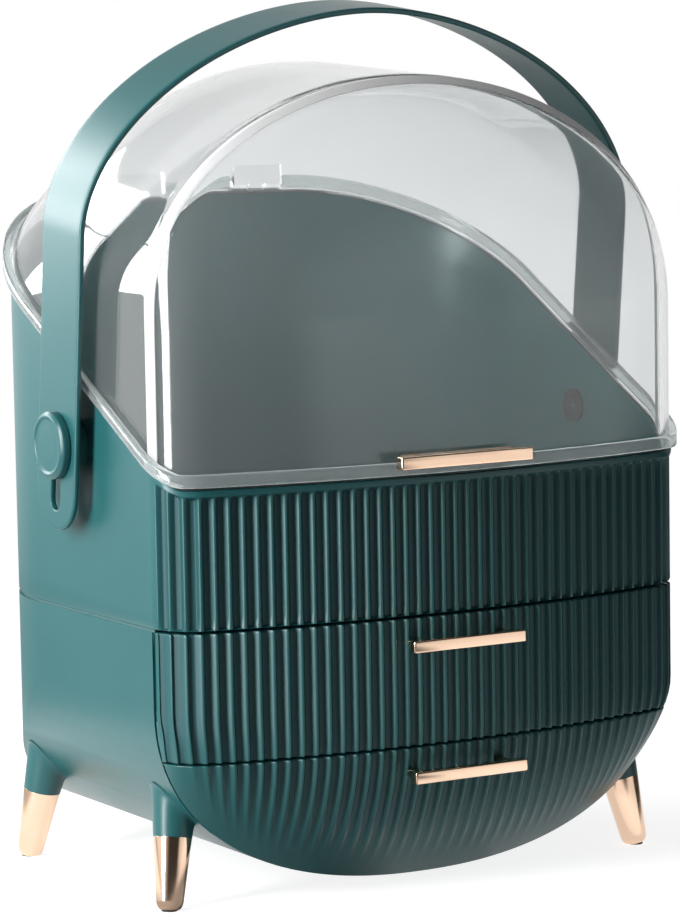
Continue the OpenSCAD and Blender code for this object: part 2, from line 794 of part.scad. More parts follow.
// Shell between two such skins, open at the rim
module cover_shell() {
    outside = [for (x = cover_xs(0)) cover_section(x, 0)];
    inside = [for (x = cover_xs(cover_wall)) cover_section(x, cover_wall)];
    n = len(outside);
    m = len(outside[0]);
    s = n * m;
    skin = [for (i = [0:n - 2], j = [0:m - 2]) let (a = i * m + j, b = a + m)
        each [[a, a + 1, b], [b, a + 1, b + 1]]];
    lining = [for (f = skin) [for (k = [2, 1, 0]) f[k] + s]];
    start = [for (j = [0:m - 3]) [m - 1, j + 1, j]];
    finish = [for (j = [0:m - 3]) let (e = (n - 1) * m) [e + m - 1, e + j, e + j + 1]];
    caps = concat(start, finish, [for (f = concat(start, finish)) [for (k = [2, 1, 0]) f[k] + s]]);
    loop = concat([for (i = [0:n - 1]) i * m], [for (i = [n - 1:-1:0]) i * m + m - 1]);
    count = len(loop);
    edge = [for (i = [0:count - 1]) let (a = loop[i], b = loop[(i + 1) % count])
        each [[a, b, a + s], [b, b + s, a + s]]];
    color(clear) polyhedron(points = [for (v = concat(outside, inside)) each v],
        faces = concat(skin, lining, caps, edge), convexity = 8);
}

module ring_plan(outside, inside) {
    difference() {
        full_plan(outside);
        full_plan(inside);
    }
}

// Band around the foot of the cover, with a lower lip that turns in over the seal
module cover_rim() {
    color(clear) difference() {
        intersection() {
            linear_extrude(height = far) ring_plan(-flange_out, -rim_play);
            rim_slab(cover_gap, flange_h);
        }
        for (side = [-1, 1]) translate([side * hinge_x - cutout_w / 2, back_y - 1, 0])
            cube([cutout_w, far, far]);
        at_cover_pegs(apex_y - far / 2) cylinder(h = far, r = peg_r + fit);
    }
}

module cover_seal() {
    color(dark) intersection() {
        linear_extrude(height = far) ring_plan(seal_in, seal_in + seal_w);
        rim_slab(seal_gap, cover_gap - 0.02);
    }
}

module cover_hinges() {
    color(clear) difference() {
        union() {
            hinge_knuckles([0]);
            for (side = [-1, 1]) translate([side * hinge_x, 0, axis_z]) {
                translate([-knuckle_w / 2 + knuckle_gap / 2, back_y + leaf_t, 0])
                    cube([knuckle_w - knuckle_gap, knuckle_r - leaf_t / 2, knuckle_r + leaf_gap + 1]);
                translate([-knuckle_w / 2 + knuckle_gap / 2, back_y + 0.05, knuckle_r + leaf_gap])
                    cube([knuckle_w - knuckle_gap, leaf_t + 1, 2]);
                translate([-leaf_w / 2, back_y + 0.05, knuckle_r + leaf_gap + 1])
                    cube([leaf_w, leaf_t, leaf_h]);
            }
        }
        hinge_bore(pin_play);
    }
}

module at_cover_pegs(y) {
    for (side = [-1, 1]) translate([side * peg_x, y, rim_z + flange_h - peg_drop])
        rotate([-90, 0, 0]) children();
}

module cover_pull() {
    low = rim_z + flange_h + 0.05;
    face = apex_y - 0.05;
    color(gold) {
        translate([0, pull_front_y + pull_t / 2, low + 0.5]) rotate([90, 0, 90])
            linear_extrude(height = cover_pull_l, center = true) rounded(pull_t, pull_h + 0.5, 1);
        translate([-tab_w / 2, pull_front_y + 1, low]) cube([tab_w, face - pull_front_y - 1, tab_t]);
        translate([-tab_w / 2, face - tab_t, low]) cube([tab_w, tab_t, tab_h]);
        at_cover_pegs(pull_front_y + pull_t - 1)
            cylinder(h = bow_y(peg_x, 0) - 1 - pull_front_y - pull_t + 1, r = peg_r);
    }
}

// Handle and pivots

module at_pivot(side) {
    translate([0, -pivot_front, pivot_z]) rotate([0, side * 90, 0]) children();
}

module pivot_pin(side) {
    color(steel) at_pivot(side) {
        translate([0, 0, retainer_x]) cylinder(h = knob_x + knob_socket - retainer_x, r = pivot_r);
        translate([0, 0, retainer_x - retainer_t - 0.3]) cylinder(h = retainer_t + 1, r = spigot_r);
    }
}

module left_pivot_pin() { pivot_pin(-1); }

module right_pivot_pin() { pivot_pin(1); }

module pivot_retainers() {
    color(dark) for (side = [-1, 1]) at_pivot(side) translate([0, 0, retainer_x - retainer_t]) difference() {
        cylinder(h = retainer_t, r = retainer_r);
        translate([0, 0, -1]) cylinder(h = retainer_t + 2, r = spigot_r + fit);
    }
}

// Round knob: a bevelled rim around a slightly sunk face
module knob(side) {
    rise = 1.2;
    color(teal) at_pivot(side) translate([0, 0, knob_x]) rotate_extrude() polygon([
        [pivot_r + fit, 0], [knob_r, 0], [knob_r, knob_t - rise], [knob_r - rise, knob_t],
        [knob_r - 2.5 * rise, knob_t], [knob_r - 3 * rise, knob_t - 0.6], [0, knob_t - 0.6],
        [0, knob_socket], [pivot_r + fit, knob_socket]]);
}

module left_knob() { knob(-1); }

module right_knob() { knob(1); }

module carry_handle() {
    spring = handle_reach - handle_arch;
    round_r = band_w / 2;
    color(teal) translate([0, -pivot_front, pivot_z]) rotate([handle_lean, 0, 0]) difference() {
        intersection() {
            rotate([90, 0, 0]) linear_extrude(height = band_w, center = true) polygon(concat(
                [[-outer_x, -handle_tail]], arch(outer_x, handle_arch, spring), [[outer_x, -handle_tail]],
                [[leg_in, -handle_tail]], reverse(arch(leg_in, handle_arch - band_t, spring)),
                [[-leg_in, -handle_tail]]));
            along_x(far) union() {
                translate([0, round_r - handle_tail]) circle(r = round_r);
                translate([-round_r, round_r - handle_tail]) square([band_w, far]);
            }
        }
        for (side = [-1, 1]) translate([side * (leg_in + band_t / 2), 0, 0]) {
            for (z = [0, -handle_lift]) translate([0, 0, z]) rotate([0, 90, 0])
                cylinder(h = 4 * band_t, r = slot_r, center = true);
            translate([-2 * band_t, -slot_r, -handle_lift]) cube([4 * band_t, 2 * slot_r, handle_lift]);
        }
    }
}

// One module for each leg and sleeve

module leg_front_left() { leg(-1, -1); }

module leg_front_right() { leg(1, -1); }

module leg_back_left() { leg(-1, 1); }

module leg_back_right() { leg(1, 1); }

module sleeve_front_left() { sleeve(-1, -1); }

module sleeve_front_right() { sleeve(1, -1); }

module sleeve_back_left() { sleeve(-1, 1); }

module sleeve_back_right() { sleeve(1, 1); }

lower_casing();
drawer_shelf();
upper_runners();
lower_runners();
tray_body();
module_screws();
leg_front_left();
leg_front_right();
leg_back_left();
leg_back_right();
sleeve_front_left();
sleeve_front_right();
sleeve_back_left();
sleeve_back_right();
foot_pads();
leg_screws();
hinge_pins();
friction_washers();
upper_drawer_box();
upper_drawer_front();
upper_drawer_pull();
upper_pull_screws();
lower_drawer_box();
lower_drawer_front();
lower_drawer_pull();
lower_pull_screws();
cover_shell();
cover_rim();
cover_seal();
cover_hinges();
cover_pull();
left_pivot_pin();
right_pivot_pin();
left_knob();
right_knob();
pivot_retainers();
carry_handle();
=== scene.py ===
import json
import bmesh
import bpy
import numpy as np
from mathutils import Matrix


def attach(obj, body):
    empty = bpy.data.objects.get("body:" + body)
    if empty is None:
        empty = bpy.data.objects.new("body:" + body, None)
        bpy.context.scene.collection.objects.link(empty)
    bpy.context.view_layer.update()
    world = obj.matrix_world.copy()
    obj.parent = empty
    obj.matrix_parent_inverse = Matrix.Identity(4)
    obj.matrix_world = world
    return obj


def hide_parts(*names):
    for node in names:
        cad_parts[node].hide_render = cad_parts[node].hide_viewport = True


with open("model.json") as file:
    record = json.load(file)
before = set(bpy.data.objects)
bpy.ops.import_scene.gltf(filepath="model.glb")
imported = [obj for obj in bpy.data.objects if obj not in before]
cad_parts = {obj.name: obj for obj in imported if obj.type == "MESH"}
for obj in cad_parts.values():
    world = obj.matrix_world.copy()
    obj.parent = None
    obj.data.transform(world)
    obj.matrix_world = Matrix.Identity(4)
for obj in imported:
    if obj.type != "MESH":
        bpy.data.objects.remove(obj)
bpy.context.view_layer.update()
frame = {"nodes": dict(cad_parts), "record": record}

# Sizes of the object are in millimetres, and its meshes are written in metres.
mm = 0.001


def addObject(name, data):
    obj = bpy.data.objects.new(name, data)
    bpy.context.scene.collection.objects.link(obj)
    return obj


# Meshes made from grids of points

def gridFaces(rows, cols, closeRows=False, closeCols=False, start=0):
    # one quad between each point and its neighbours one row and one column on, wrapping where it closes
    r = np.arange(rows if closeRows else rows - 1)[:, None]
    c = np.arange(cols if closeCols else cols - 1)[None, :]
    up, on = (r + 1) % rows, (c + 1) % cols
    return np.stack([r * cols + c, r * cols + on, up * cols + on, up * cols + c], -1).reshape(-1, 4) + start


def makePiece(name, grids, body, material, stands=(), caps=(), sharp=35.0, weld=0.002, hollow=None):
    # grids are (points, closeRows, closeCols); caps are flat outlines, each filled by one face;
    # hollow is a share of depth for each point of the first grid, kept for the material to read
    # the material paints shade into the grooves by this share of depth
    points, faces, count = [], [], 0
    for g in grids:
        p, closeRows, closeCols = g if isinstance(g, tuple) else (g, False, False)
        rows, cols = p.shape[:2]
        faces += gridFaces(rows, cols, closeRows, closeCols, count).tolist()
        points.append(p.reshape(-1, 3))
        count += rows * cols
    for c in caps:
        faces.append(list(range(count, count + len(c))))
        points.append(np.asarray(c, float))
        count += len(c)
    mesh = bpy.data.meshes.new(name)
    mesh.from_pydata((np.concatenate(points) * mm).tolist(), [], faces)
    if hollow is not None:
        depth = mesh.attributes.new("hollow", "FLOAT", "POINT")
        rest = np.zeros(len(mesh.vertices) - hollow.size)
        depth.data.foreach_set("value", np.concatenate([hollow.ravel(), rest]))
    bm = bmesh.new()
    bm.from_mesh(mesh)
    bmesh.ops.remove_doubles(bm, verts=bm.verts, dist=weld * mm)
    bmesh.ops.dissolve_degenerate(bm, edges=bm.edges, dist=1e-7)
    bmesh.ops.recalc_face_normals(bm, faces=bm.faces)
    bm.to_mesh(mesh)
    bm.free()
    mesh.polygons.foreach_set("use_smooth", np.ones(len(mesh.polygons), bool))
    mesh.set_sharp_from_angle(angle=np.radians(sharp))
    mesh.materials.append(material)
    obj = addObject(name, mesh)
    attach(obj, body)
    if stands:
        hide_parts(*stands)


def roundedRect(w, h, r, steps=5):
    # corner arcs of radius r joined in order round a w by h rectangle
    a = np.radians(np.linspace(0, 90, steps))
    arcs = [np.stack([sx * (w / 2 - r) + r * np.cos(a + q), sy * (h / 2 - r) + r * np.sin(a + q)], 1)
            for sx, sy, q in ((1, 1, 0), (-1, 1, np.pi / 2), (-1, -1, np.pi), (1, -1, 1.5 * np.pi))]
    return np.concatenate(arcs)


def ringAbout(axis, aside, steps):
    # unit vectors square to the axis, all the way round it
    side = np.cross(axis, aside)
    side /= np.linalg.norm(side)
    t = np.linspace(0, 2 * np.pi, steps, endpoint=False)
    return np.cos(t)[:, None] * side + np.sin(t)[:, None] * np.cross(axis, side)


def turned(profile, origin, axis, steps=72):
    # a profile of (height, radius) pairs turned about the axis through the origin
    axis = np.asarray(axis, float) / np.linalg.norm(axis)
    ring = ringAbout(axis, [0, 1, 0] if abs(axis[1]) < 0.9 else [1, 0, 0], steps)
    p = np.asarray(profile, float)
    return np.asarray(origin, float) + p[:, None, :1] * axis + p[:, None, 1:] * ring[None]


def rounded(points, radius, steps=4):
    # each inner corner of an open profile replaced by a short curve that starts radius before it
    p = np.asarray(points, float)
    a, b, c = p[:-2], p[1:-1], p[2:]
    la, lc = np.linalg.norm(a - b, axis=1), np.linalg.norm(c - b, axis=1)
    r = np.minimum(radius, 0.45 * np.minimum(la, lc))[:, None]
    s, e = b + (a - b) / la[:, None] * r, b + (c - b) / lc[:, None] * r
    t = np.linspace(0, 1, steps)[None, :, None]
    arc = (1 - t) ** 2 * s[:, None] + 2 * t * (1 - t) * b[:, None] + t ** 2 * e[:, None]
    return np.concatenate([p[:1], arc.reshape(-1, p.shape[1]), p[-1:]])


def tube(grid):
    # a grid whose every row closes into a ring
    return grid, False, True


def ends(*grids):
    # first and last row of each grid, to be capped
    return [row for g in grids for row in (g[0], g[-1])]


def acrossX(x, yz):
    # flat sections, or one for all, set square across X at each of the given places
    x = np.asarray(x, float).reshape(-1, 1, 1)
    yz = np.broadcast_to(yz, (len(x),) + yz.shape[-2:])
    return np.concatenate([np.broadcast_to(x, yz.shape[:2] + (1,)), yz], -1)


def runAlong(rows):
    # distance from each row's first point to every point of it
    step = np.linalg.norm(np.diff(rows, axis=1), axis=-1)
    return np.concatenate([np.zeros((len(rows), 1)), np.cumsum(step, 1)], 1)


def leftOf(line):
    # unit normals to the left of a flat line
    d = np.gradient(line, axis=0)
    return np.stack([-d[:, 1], d[:, 0]], 1) / np.linalg.norm(d, axis=1)[:, None]


# Shader graphs

class Wire:
    # a socket that takes part in sums; numbers on their own are worked out in Python
    def __init__(self, graph, socket):
        self.graph, self.socket = graph, socket

    def math(self, operation, *values):
        return self.graph.node("ShaderNodeMath", {"operation": operation}, dict(enumerate(values)))

    def __add__(self, v): return self.math("ADD", self, v)
    def __radd__(self, v): return self.math("ADD", v, self)
    def __sub__(self, v): return self.math("SUBTRACT", self, v)
    def __rsub__(self, v): return self.math("SUBTRACT", v, self)
    def __mul__(self, v): return self.math("MULTIPLY", self, v)
    def __rmul__(self, v): return self.math("MULTIPLY", v, self)
    def __truediv__(self, v): return self.math("DIVIDE", self, v)
    def clamp(self): return self.math("MAXIMUM", self.math("MINIMUM", self, 1.0), 0.0)


class Graph:
    # the nodes of one material or of the world
    def __init__(self, owner, place="Object"):
        owner.use_nodes = True
        self.owner, self.tree = owner, owner.node_tree
        self.shader = self.tree.nodes.get("Principled BSDF")
        self.where = self.node("ShaderNodeTexCoord", out=place)

    def feed(self, socket, value):
        if isinstance(value, Wire):
            self.tree.links.new(value.socket, socket)
        else:
            socket.default_value = value

    def node(self, kind, settings=None, inputs=None, out=0):
        n = self.tree.nodes.new(kind)
        for key, value in (settings or {}).items():
            setattr(n, key, value)
        for key, value in (inputs or {}).items():
            self.feed(n.inputs[key], value)
        return Wire(self, n.outputs[out])

    def length(self, vector):
        return self.node("ShaderNodeVectorMath", {"operation": "LENGTH"}, {0: vector}, "Value")

    def dot(self, vector, other):
        settings = {"operation": "DOT_PRODUCT"}
        return self.node("ShaderNodeVectorMath", settings, {0: vector, 1: other}, "Value")

    def ray(self, kind):
        return self.node("ShaderNodeLightPath", out=kind)

    def noise(self, scale, detail=3.0, where=None):
        return self.node("ShaderNodeTexNoise", {"noise_dimensions": "3D"},
                         {"Vector": where or self.where, "Scale": scale, "Detail": detail}, "Fac")

    def blend(self, amount, a, b):
        a, b = (c if isinstance(c, Wire) else (*c, 1) for c in (a, b))
        return self.node("ShaderNodeMix", {"data_type": "RGBA"}, {0: amount, 6: a, 7: b}, 2)

    def bump(self, height, strength, distance):
        return self.node("ShaderNodeBump", {}, {"Height": height, "Strength": strength, "Distance": distance})

    def finish(self, **values):
        for key, value in values.items():
            self.feed(self.shader.inputs[key.replace("_", " ")], value)
        return self.owner


def newMaterial(name):
    return Graph(bpy.data.materials.new(name))


tealFinish = {
    "colour": (0.0135, 0.092, 0.098), "paler": (0.020, 0.115, 0.121), "cloudScale": 18.0, "flowScale": 90.0,
    "cloudShare": 0.7, "roughness": 0.33, "spread": 0.10, "rub": 0.06, "rubScale": 420.0,
    "grainScale": 2200.0, "grainShare": 0.7, "grainStrength": 0.35, "grainDepth": 0.000012,
    # the groove colour is painted shade for the bottoms of the grooves
    "level": 0.50, "paintedGrooveShade": (0.009, 0.069, 0.077), "grooveDull": 0.2,
}


def tealPlastic(name, f=tealFinish, shadeGrooves=False):
    g = newMaterial(name)
    cloud = g.noise(f["cloudScale"], 4.0)  # slow change in the moulded gloss
    grain = g.noise(f["grainScale"], 2.0)  # fine satin texture from the mould
    flow = g.noise(f["flowScale"], 3.0)  # marks of the plastic's flow
    rub = g.noise(f["rubScale"], 5.0)  # wear from hands
    tone = (cloud * f["cloudShare"] + flow * (1 - f["cloudShare"])).clamp()
    gloss = f["roughness"] + (cloud - 0.5) * f["spread"] + (rub - 0.5) * f["rub"]
    colour = g.blend(tone, f["colour"], f["paler"])
    if shadeGrooves:
        # painted shade: the colour darkens towards the bottom of a groove, where less light reaches; the
        # mould also leaves it duller
        hollow = g.node("ShaderNodeAttribute", {"attribute_name": "hollow"}, out="Fac")
        colour = g.blend(hollow, colour, f["paintedGrooveShade"])
        gloss = gloss + hollow * f["grooveDull"]
    height = grain * f["grainShare"] + flow * (1 - f["grainShare"])
    return g.finish(Base_Color=colour, Roughness=gloss, Specular_IOR_Level=f["level"],
                    Normal=g.bump(height, f["grainStrength"], f["grainDepth"]))


goldFinish = {
    "colour": (0.93, 0.69, 0.52), "deep": (0.87, 0.58, 0.41), "hazeScale": 60.0, "hazeShare": 0.6,
    "brushShare": 0.25, "roughness": 0.13, "hazeSpread": 0.08, "brushSpread": 0.06, "brushScale": 1400.0,
    "brushStrength": 0.08, "brushDepth": 0.00002,
}


def roseGold(name, f=goldFinish, stretch=(1.0, 14.0, 14.0)):
    g = newMaterial(name)
    drawn = g.node("ShaderNodeMapping", {}, {"Vector": g.where, "Scale": stretch})
    brush = g.noise(f["brushScale"], 3.0, drawn)  # fine polishing lines along the bar
    haze = g.noise(f["hazeScale"], 4.0)
    tone = (haze * f["hazeShare"] + brush * f["brushShare"]).clamp()
    gloss = f["roughness"] + (haze - 0.5) * f["hazeSpread"] + (brush - 0.5) * f["brushSpread"]
    return g.finish(Base_Color=g.blend(tone, f["colour"], f["deep"]), Metallic=1.0, Roughness=gloss,
                    Normal=g.bump(brush, f["brushStrength"], f["brushDepth"]))


acrylicFinish = {
    "tint": (0.960, 0.970, 0.972), "hazeAndGlint": (0.915, 0.930, 0.933), "roughness": 0.035, "clear": 0.95,
    "smearScale": 14.0, "smearSpread": 0.03, "fineScale": 240.0, "fineSpread": 0.01, "index": 1.45,
    "waveStrength": 0.05, "waveDepth": 0.00005,
}
bandFinish = dict(acrylicFinish, tint=(0.66, 0.71, 0.71), hazeAndGlint=(0.76, 0.81, 0.81), clear=0.86,
                  roughness=0.12)
# painted highlight: a pale, nearly opaque acrylic for the strip along the cover's arched edge
glintStripFinish = dict(acrylicFinish, tint=(0.90, 0.91, 0.92), hazeAndGlint=(0.97, 0.97, 0.98), clear=0.15,
                  roughness=0.30)


def clearAcrylic(name, f=acrylicFinish):
    g = newMaterial(name)
    smear = g.noise(f["smearScale"], 5.0)  # faint handling haze
    fine = g.noise(f["fineScale"], 3.0)
    gloss = f["roughness"] + (smear - 0.5) * f["smearSpread"] + (fine - 0.5) * f["fineSpread"]
    return g.finish(Base_Color=g.blend((smear * 1.2 - 0.2).clamp(), f["tint"], f["hazeAndGlint"]), Roughness=gloss,
                    Transmission_Weight=f["clear"], IOR=f["index"], Specular_IOR_Level=0.5,
                    Normal=g.bump(smear, f["waveStrength"], f["waveDepth"]))


rubberFinish = {
    "colour": (0.018, 0.020, 0.021), "dusty": (0.045, 0.047, 0.048), "roughness": 0.62, "spread": 0.2,
    "dustScale": 160.0, "poreScale": 3200.0, "poreStrength": 0.3, "poreDepth": 0.00004,
}


def softRubber(name, f=rubberFinish):
    g = newMaterial(name)
    dust = g.noise(f["dustScale"], 5.0)
    pore = g.noise(f["poreScale"], 2.0)
    return g.finish(Base_Color=g.blend(dust, f["colour"], f["dusty"]),
                    Roughness=f["roughness"] + (dust - 0.5) * f["spread"],
                    Normal=g.bump(pore, f["poreStrength"], f["poreDepth"]))


steelFinish = {
    "colour": (0.60, 0.60, 0.61), "dull": (0.42, 0.42, 0.43), "roughness": 0.26, "stainScale": 300.0,
    "stainSpread": 0.15, "latheScale": 900.0, "latheSpread": 0.04, "latheStrength": 0.12,
    "latheDepth": 0.00002,
}


def plainSteel(name, f=steelFinish):
    g = newMaterial(name)
    turning = {"Vector": g.where, "Scale": f["latheScale"], "Distortion": 2.0}
    lathe = g.node("ShaderNodeTexWave", {"wave_type": "BANDS"}, turning, "Fac")  # turning marks
    stain = g.noise(f["stainScale"], 4.0)
    gloss = f["roughness"] + (stain - 0.5) * f["stainSpread"] + lathe * f["latheSpread"]
    return g.finish(Base_Color=g.blend(stain, f["colour"], f["dull"]), Metallic=1.0, Roughness=gloss,
                    Normal=g.bump(lathe, f["latheStrength"], f["latheDepth"]))


teal = tealPlastic("satinTeal")
# the fluted parts get painted shade in their grooves
tealFluted = tealPlastic("satinTealFluted", shadeGrooves=True)
tealInside = tealPlastic("satinTealInside", dict(tealFinish, roughness=0.46, grainDepth=0.000004))
gold = roseGold("roseGold")
goldTurned = roseGold("roseGoldTurned", dict(goldFinish, brushScale=900.0), (1.0, 1.0, 9.0))
acrylic = clearAcrylic("clearAcrylic")
bandAcrylic = clearAcrylic("bandAcrylic", bandFinish)
glintStripAcrylic = clearAcrylic("glintStripAcrylic", glintStripFinish)
rubber = softRubber("blackRubber")
steel = plainSteel("brightSteel")
print("materials ready")

finishOf = {"satin_teal": teal, "plated_gold": gold, "screw_steel": steel, "black_rubber": rubber,
            "clear_acrylic": acrylic}
slotOf = {s["node"]: s["material_slot"] for s in frame["record"]["subparts"]}
insideNodes = ("upper_drawer_box", "lower_drawer_box", "drawer_shelf")
nodeShade = {"weld": 0.00001, "sharp": 28.0}


def dressNode(name):
    # a frame node keeps its place and shape: its loose triangles are joined and shaded smooth up to an edge
    obj = frame["nodes"][name]
    for s in obj.material_slots:
        s.material = tealInside if name in insideNodes else finishOf[slotOf[name]]
    obj.data.polygons.foreach_set("use_smooth", np.ones(len(obj.data.polygons), bool))
    weld = obj.modifiers.new("weld", "WELD")
    weld.merge_threshold = nodeShade["weld"]
    split = obj.modifiers.new("edges", "EDGE_SPLIT")
    split.split_angle = np.radians(nodeShade["sharp"])


for nodeName in frame["nodes"]:
    dressNode(nodeName)


# Shape of the case, shared by the tray, the drawer fronts and the cover

case = {"half": 150.0, "rimY": -89.0, "backY": 131.0, "backR": 94.0, "frontR": 18.0, "bow": 21.0,
        "bellyTop": 103.0, "bellyLow": 5.0, "bellyPower": 2.25, "bowStart": 92.0, "bowPower": 2.25,
        "rimZ": 210.5, "rimSlope": 0.53, "edge": 2.0}
cornerX, cornerY = case["half"] - case["backR"], case["backY"] - case["backR"]
edgeY = case["rimY"] - case["edge"]  # plane of the front's side edges


def bowY(x):
    # front in plan: a parabola across the width with a quarter circle at each end
    past = np.clip(np.abs(x) - (case["half"] - case["frontR"]), 0, case["frontR"])
    corner = np.sqrt(np.maximum(case["frontR"] ** 2 - past ** 2, 0))
    return case["rimY"] - case["bow"] * (1 - (x / case["half"]) ** 2) - corner


def bellyZ(x, inset=0.0):
    # lower half of a superellipse: width and depth to the belly power add up to one
    u = np.clip(np.abs(x) / (case["half"] - inset), 0, 1)
    n = case["bellyPower"]
    depth = case["bellyTop"] - case["bellyLow"] - inset
    return case["bellyTop"] - depth * np.maximum(1 - u ** n, 0) ** (1 / n)


def bellyHalf(z, inset=0.0):
    # the same curve read the other way: half width at a height
    t = np.clip((case["bellyTop"] - z) / (case["bellyTop"] - case["bellyLow"] - inset), 0, 1)
    n = case["bellyPower"]
    return (case["half"] - inset) * np.maximum(1 - t ** n, 0) ** (1 / n)


def rimAt(y):
    # level along the front, then rising evenly towards the back
    return case["rimZ"] + case["rimSlope"] * np.maximum(0, y - case["rimY"] + case["frontR"])


def backAt(x, inset=0.0):
    # back edge in plan: straight, with a quarter circle at each corner
    past = np.maximum(np.abs(x) - cornerX, 0)
    return cornerY + np.sqrt(np.maximum((case["backR"] - inset) ** 2 - past ** 2, 0))


# lengths along the front's edge from its middle: to the end of the bow, and to the end of the quarter circle
flatHalf = case["half"] - case["frontR"]
edgeRun = flatHalf * (1 + 2 / 3 * (case["bow"] * flatHalf / case["half"] ** 2) ** 2)
fullRun = edgeRun + case["frontR"] * np.pi / 2


def placeAt(s):
    # x of a place that lies s along the front's edge: even over the bow, then round the quarter circle
    past = np.clip((np.abs(s) - edgeRun) / case["frontR"], 0, np.pi / 2)
    onBow, onArc = np.abs(s) * flatHalf / edgeRun, flatHalf + case["frontR"] * np.sin(past)
    return np.sign(s) * np.where(np.abs(s) < edgeRun, onBow, onArc)


def planLoop(run, sideSteps=14, arcSteps=24, backSteps=18):
    # outline of the case in plan, from the left front corner round the front, with outward normals
    x = placeAt(run)
    front = np.stack([x, bowY(x)], 1)
    sideY = np.linspace(case["rimY"], cornerY, sideSteps)[1:-1]
    side = np.stack([np.full_like(sideY, case["half"]), sideY], 1)
    a = np.radians(np.linspace(0, 90, arcSteps))
    arc = np.stack([cornerX + case["backR"] * np.cos(a), cornerY + case["backR"] * np.sin(a)], 1)
    backX = np.linspace(cornerX, -cornerX, backSteps)[1:-1]
    back = np.stack([backX, np.full_like(backX, case["backY"])], 1)
    mirrored = [-1, 1]
    loop = np.concatenate([front, side, arc, back, arc[::-1] * mirrored, side[::-1] * mirrored])
    tangent = np.roll(loop, -1, 0) - np.roll(loop, 1, 0)
    normal = np.stack([tangent[:, 1], -tangent[:, 0]], 1)
    return loop, normal / np.linalg.norm(normal, axis=1)[:, None]


flute = {"count": 44, "margin": 4.55, "top": 0.5, "foot": 2.25, "soft": 0.45, "depth": 2.5}
fluteHalf = fullRun - flute["margin"]
pitch = 2 * fluteHalf / flute["count"]


def frontRun():
    # steps along the front: close together where a bar's profile turns, plain to each end
    top, foot, soft = flute["top"], flute["foot"], flute["soft"]
    turn = np.array([-1.0, -0.5, 0.0, 0.5, 1.0]) * soft
    half = np.concatenate([top + turn, [(top + foot) / 2], foot + turn])
    bar = np.concatenate([-half[::-1], half, [pitch / 2]])
    centres = -fluteHalf + pitch * np.arange(flute["count"] + 1)
    mid = (centres[:, None] + bar).ravel()
    end = np.linspace(fluteHalf + pitch / 2, fullRun, 7)
    return np.concatenate([-end[::-1], mid[:-1], end])


def fluteDip(run):
    # distance into the wall: flat-topped bars one pitch apart with even flanks, each corner a short parabola
    t = np.abs((run + fluteHalf + pitch / 2) % pitch - pitch / 2)
    top, foot, soft = flute["top"], flute["foot"], flute["soft"]

    def ramp(at):
        # nothing before the corner, its own length after it, and a parabola that joins the two
        u = np.clip(at / soft, -1, 1)
        return np.where(at > soft, at, soft * (u + 1) ** 2 / 4)
    dip = (ramp(t - top) - ramp(t - foot)) / (foot - top)
    return flute["depth"] * dip * (np.abs(run) < fluteHalf)


# Tray

tray = {"low": 142.25, "lipHeight": 3.4, "lipOut": 1.0, "wall": 3.0, "floor": 3.0, "footRound": 0.9,
        "fluteEnd": 1.4, "frontExtra": 1.8, "rimRound": 0.9, "floorRound": 2.5}


def trayShell():
    # rows run up outside, over the rim and down inside; the flutes fade out under the front's lip
    run = frontRun()
    loop, normal = planLoop(run)
    x, y = loop.T
    atFront = y < case["rimY"] + 0.01
    front = np.where(atFront, np.clip((case["half"] - np.abs(x)) / 3, 0, 1), 0)
    dip = np.zeros(len(loop))
    dip[:len(run)] = fluteDip(run)
    low, wall, rim = tray["low"], tray["wall"], rimAt(y)
    top, lip = rim - tray["lipHeight"], tray["lipOut"] * front
    inner = -wall - tray["frontExtra"] * front
    start, end = low + tray["footRound"], top - tray["fluteEnd"]
    brow, floorZ = rim - tray["rimRound"], low + tray["floor"]
    ease = floorZ + tray["floorRound"]

    def row(z, out=0.0, dipShare=0.0):
        # height, distance outwards less a share of the flutes' dip, and how deep in a groove the point lies
        return z + 0 * x, out - dipShare * dip, np.where(dipShare > 0, dip / flute["depth"], 0)
    rows = [row(low, -tray["footRound"]), row(low + 0.15, -0.4), row(start, 0, 1)]
    rows += [row(start + (end - start) * s, 0, 1) for s in np.linspace(0.08, 1, 12)]
    rows += [row(top - 0.9, 0, 0.75), row(top - 0.45, 0, 0.35), row(top), row(top + 0.12, 0.6 * lip),
             row(top + 0.5, lip), row(rim - 1.0, lip), row(rim - 0.3, lip - 0.25), row(rim, lip - 0.9),
             row(rim, 0.7 - wall), row(rim - 0.3, 0.15 - wall), row(brow, inner)]
    rows += [row(brow + (ease - brow) * s, inner) for s in np.linspace(0.1, 1, 8)]
    rows += [row(floorZ + 0.7, inner - 0.7), row(floorZ, inner - tray["floorRound"])]
    z, offset, hollow = (np.stack([r[i] for r in rows]) for i in range(3))
    return np.stack([x + normal[:, 0] * offset, y + normal[:, 1] * offset, z], -1), hollow


trayGrid, trayHollow = trayShell()
makePiece("fluted_tray", [tube(trayGrid)], "base", tealFluted, ["tray_body"], ends(trayGrid), sharp=38,
          hollow=trayHollow)

sides = ((-1, "left"), (1, "right"))
pivot = {"y": -12.0, "z": 226.0, "bossR": 13.0, "bossEnd": 157.2, "holeR": 5.3, "round": 0.6}
for side, word in sides:
    reach = pivot["bossEnd"] - case["half"]
    profile = rounded([(0, pivot["bossR"]), (reach, pivot["bossR"]), (reach, pivot["holeR"])], pivot["round"])
    boss = turned(profile, (side * case["half"], pivot["y"], pivot["z"]), (side, 0, 0))
    makePiece("pivot_boss_" + word, [tube(boss)], "base", teal)

hinge = {"x": 36.0, "y": 135.8, "drop": 4.3, "r": 4.2, "width": 10.0, "gap": 0.3, "pin": 1.54,
         "chamfer": 0.4, "web": (5.4, 4.2), "webBack": 2.6, "webRound": 0.3}
hingeZ = rimAt(hinge["y"]) - hinge["drop"]


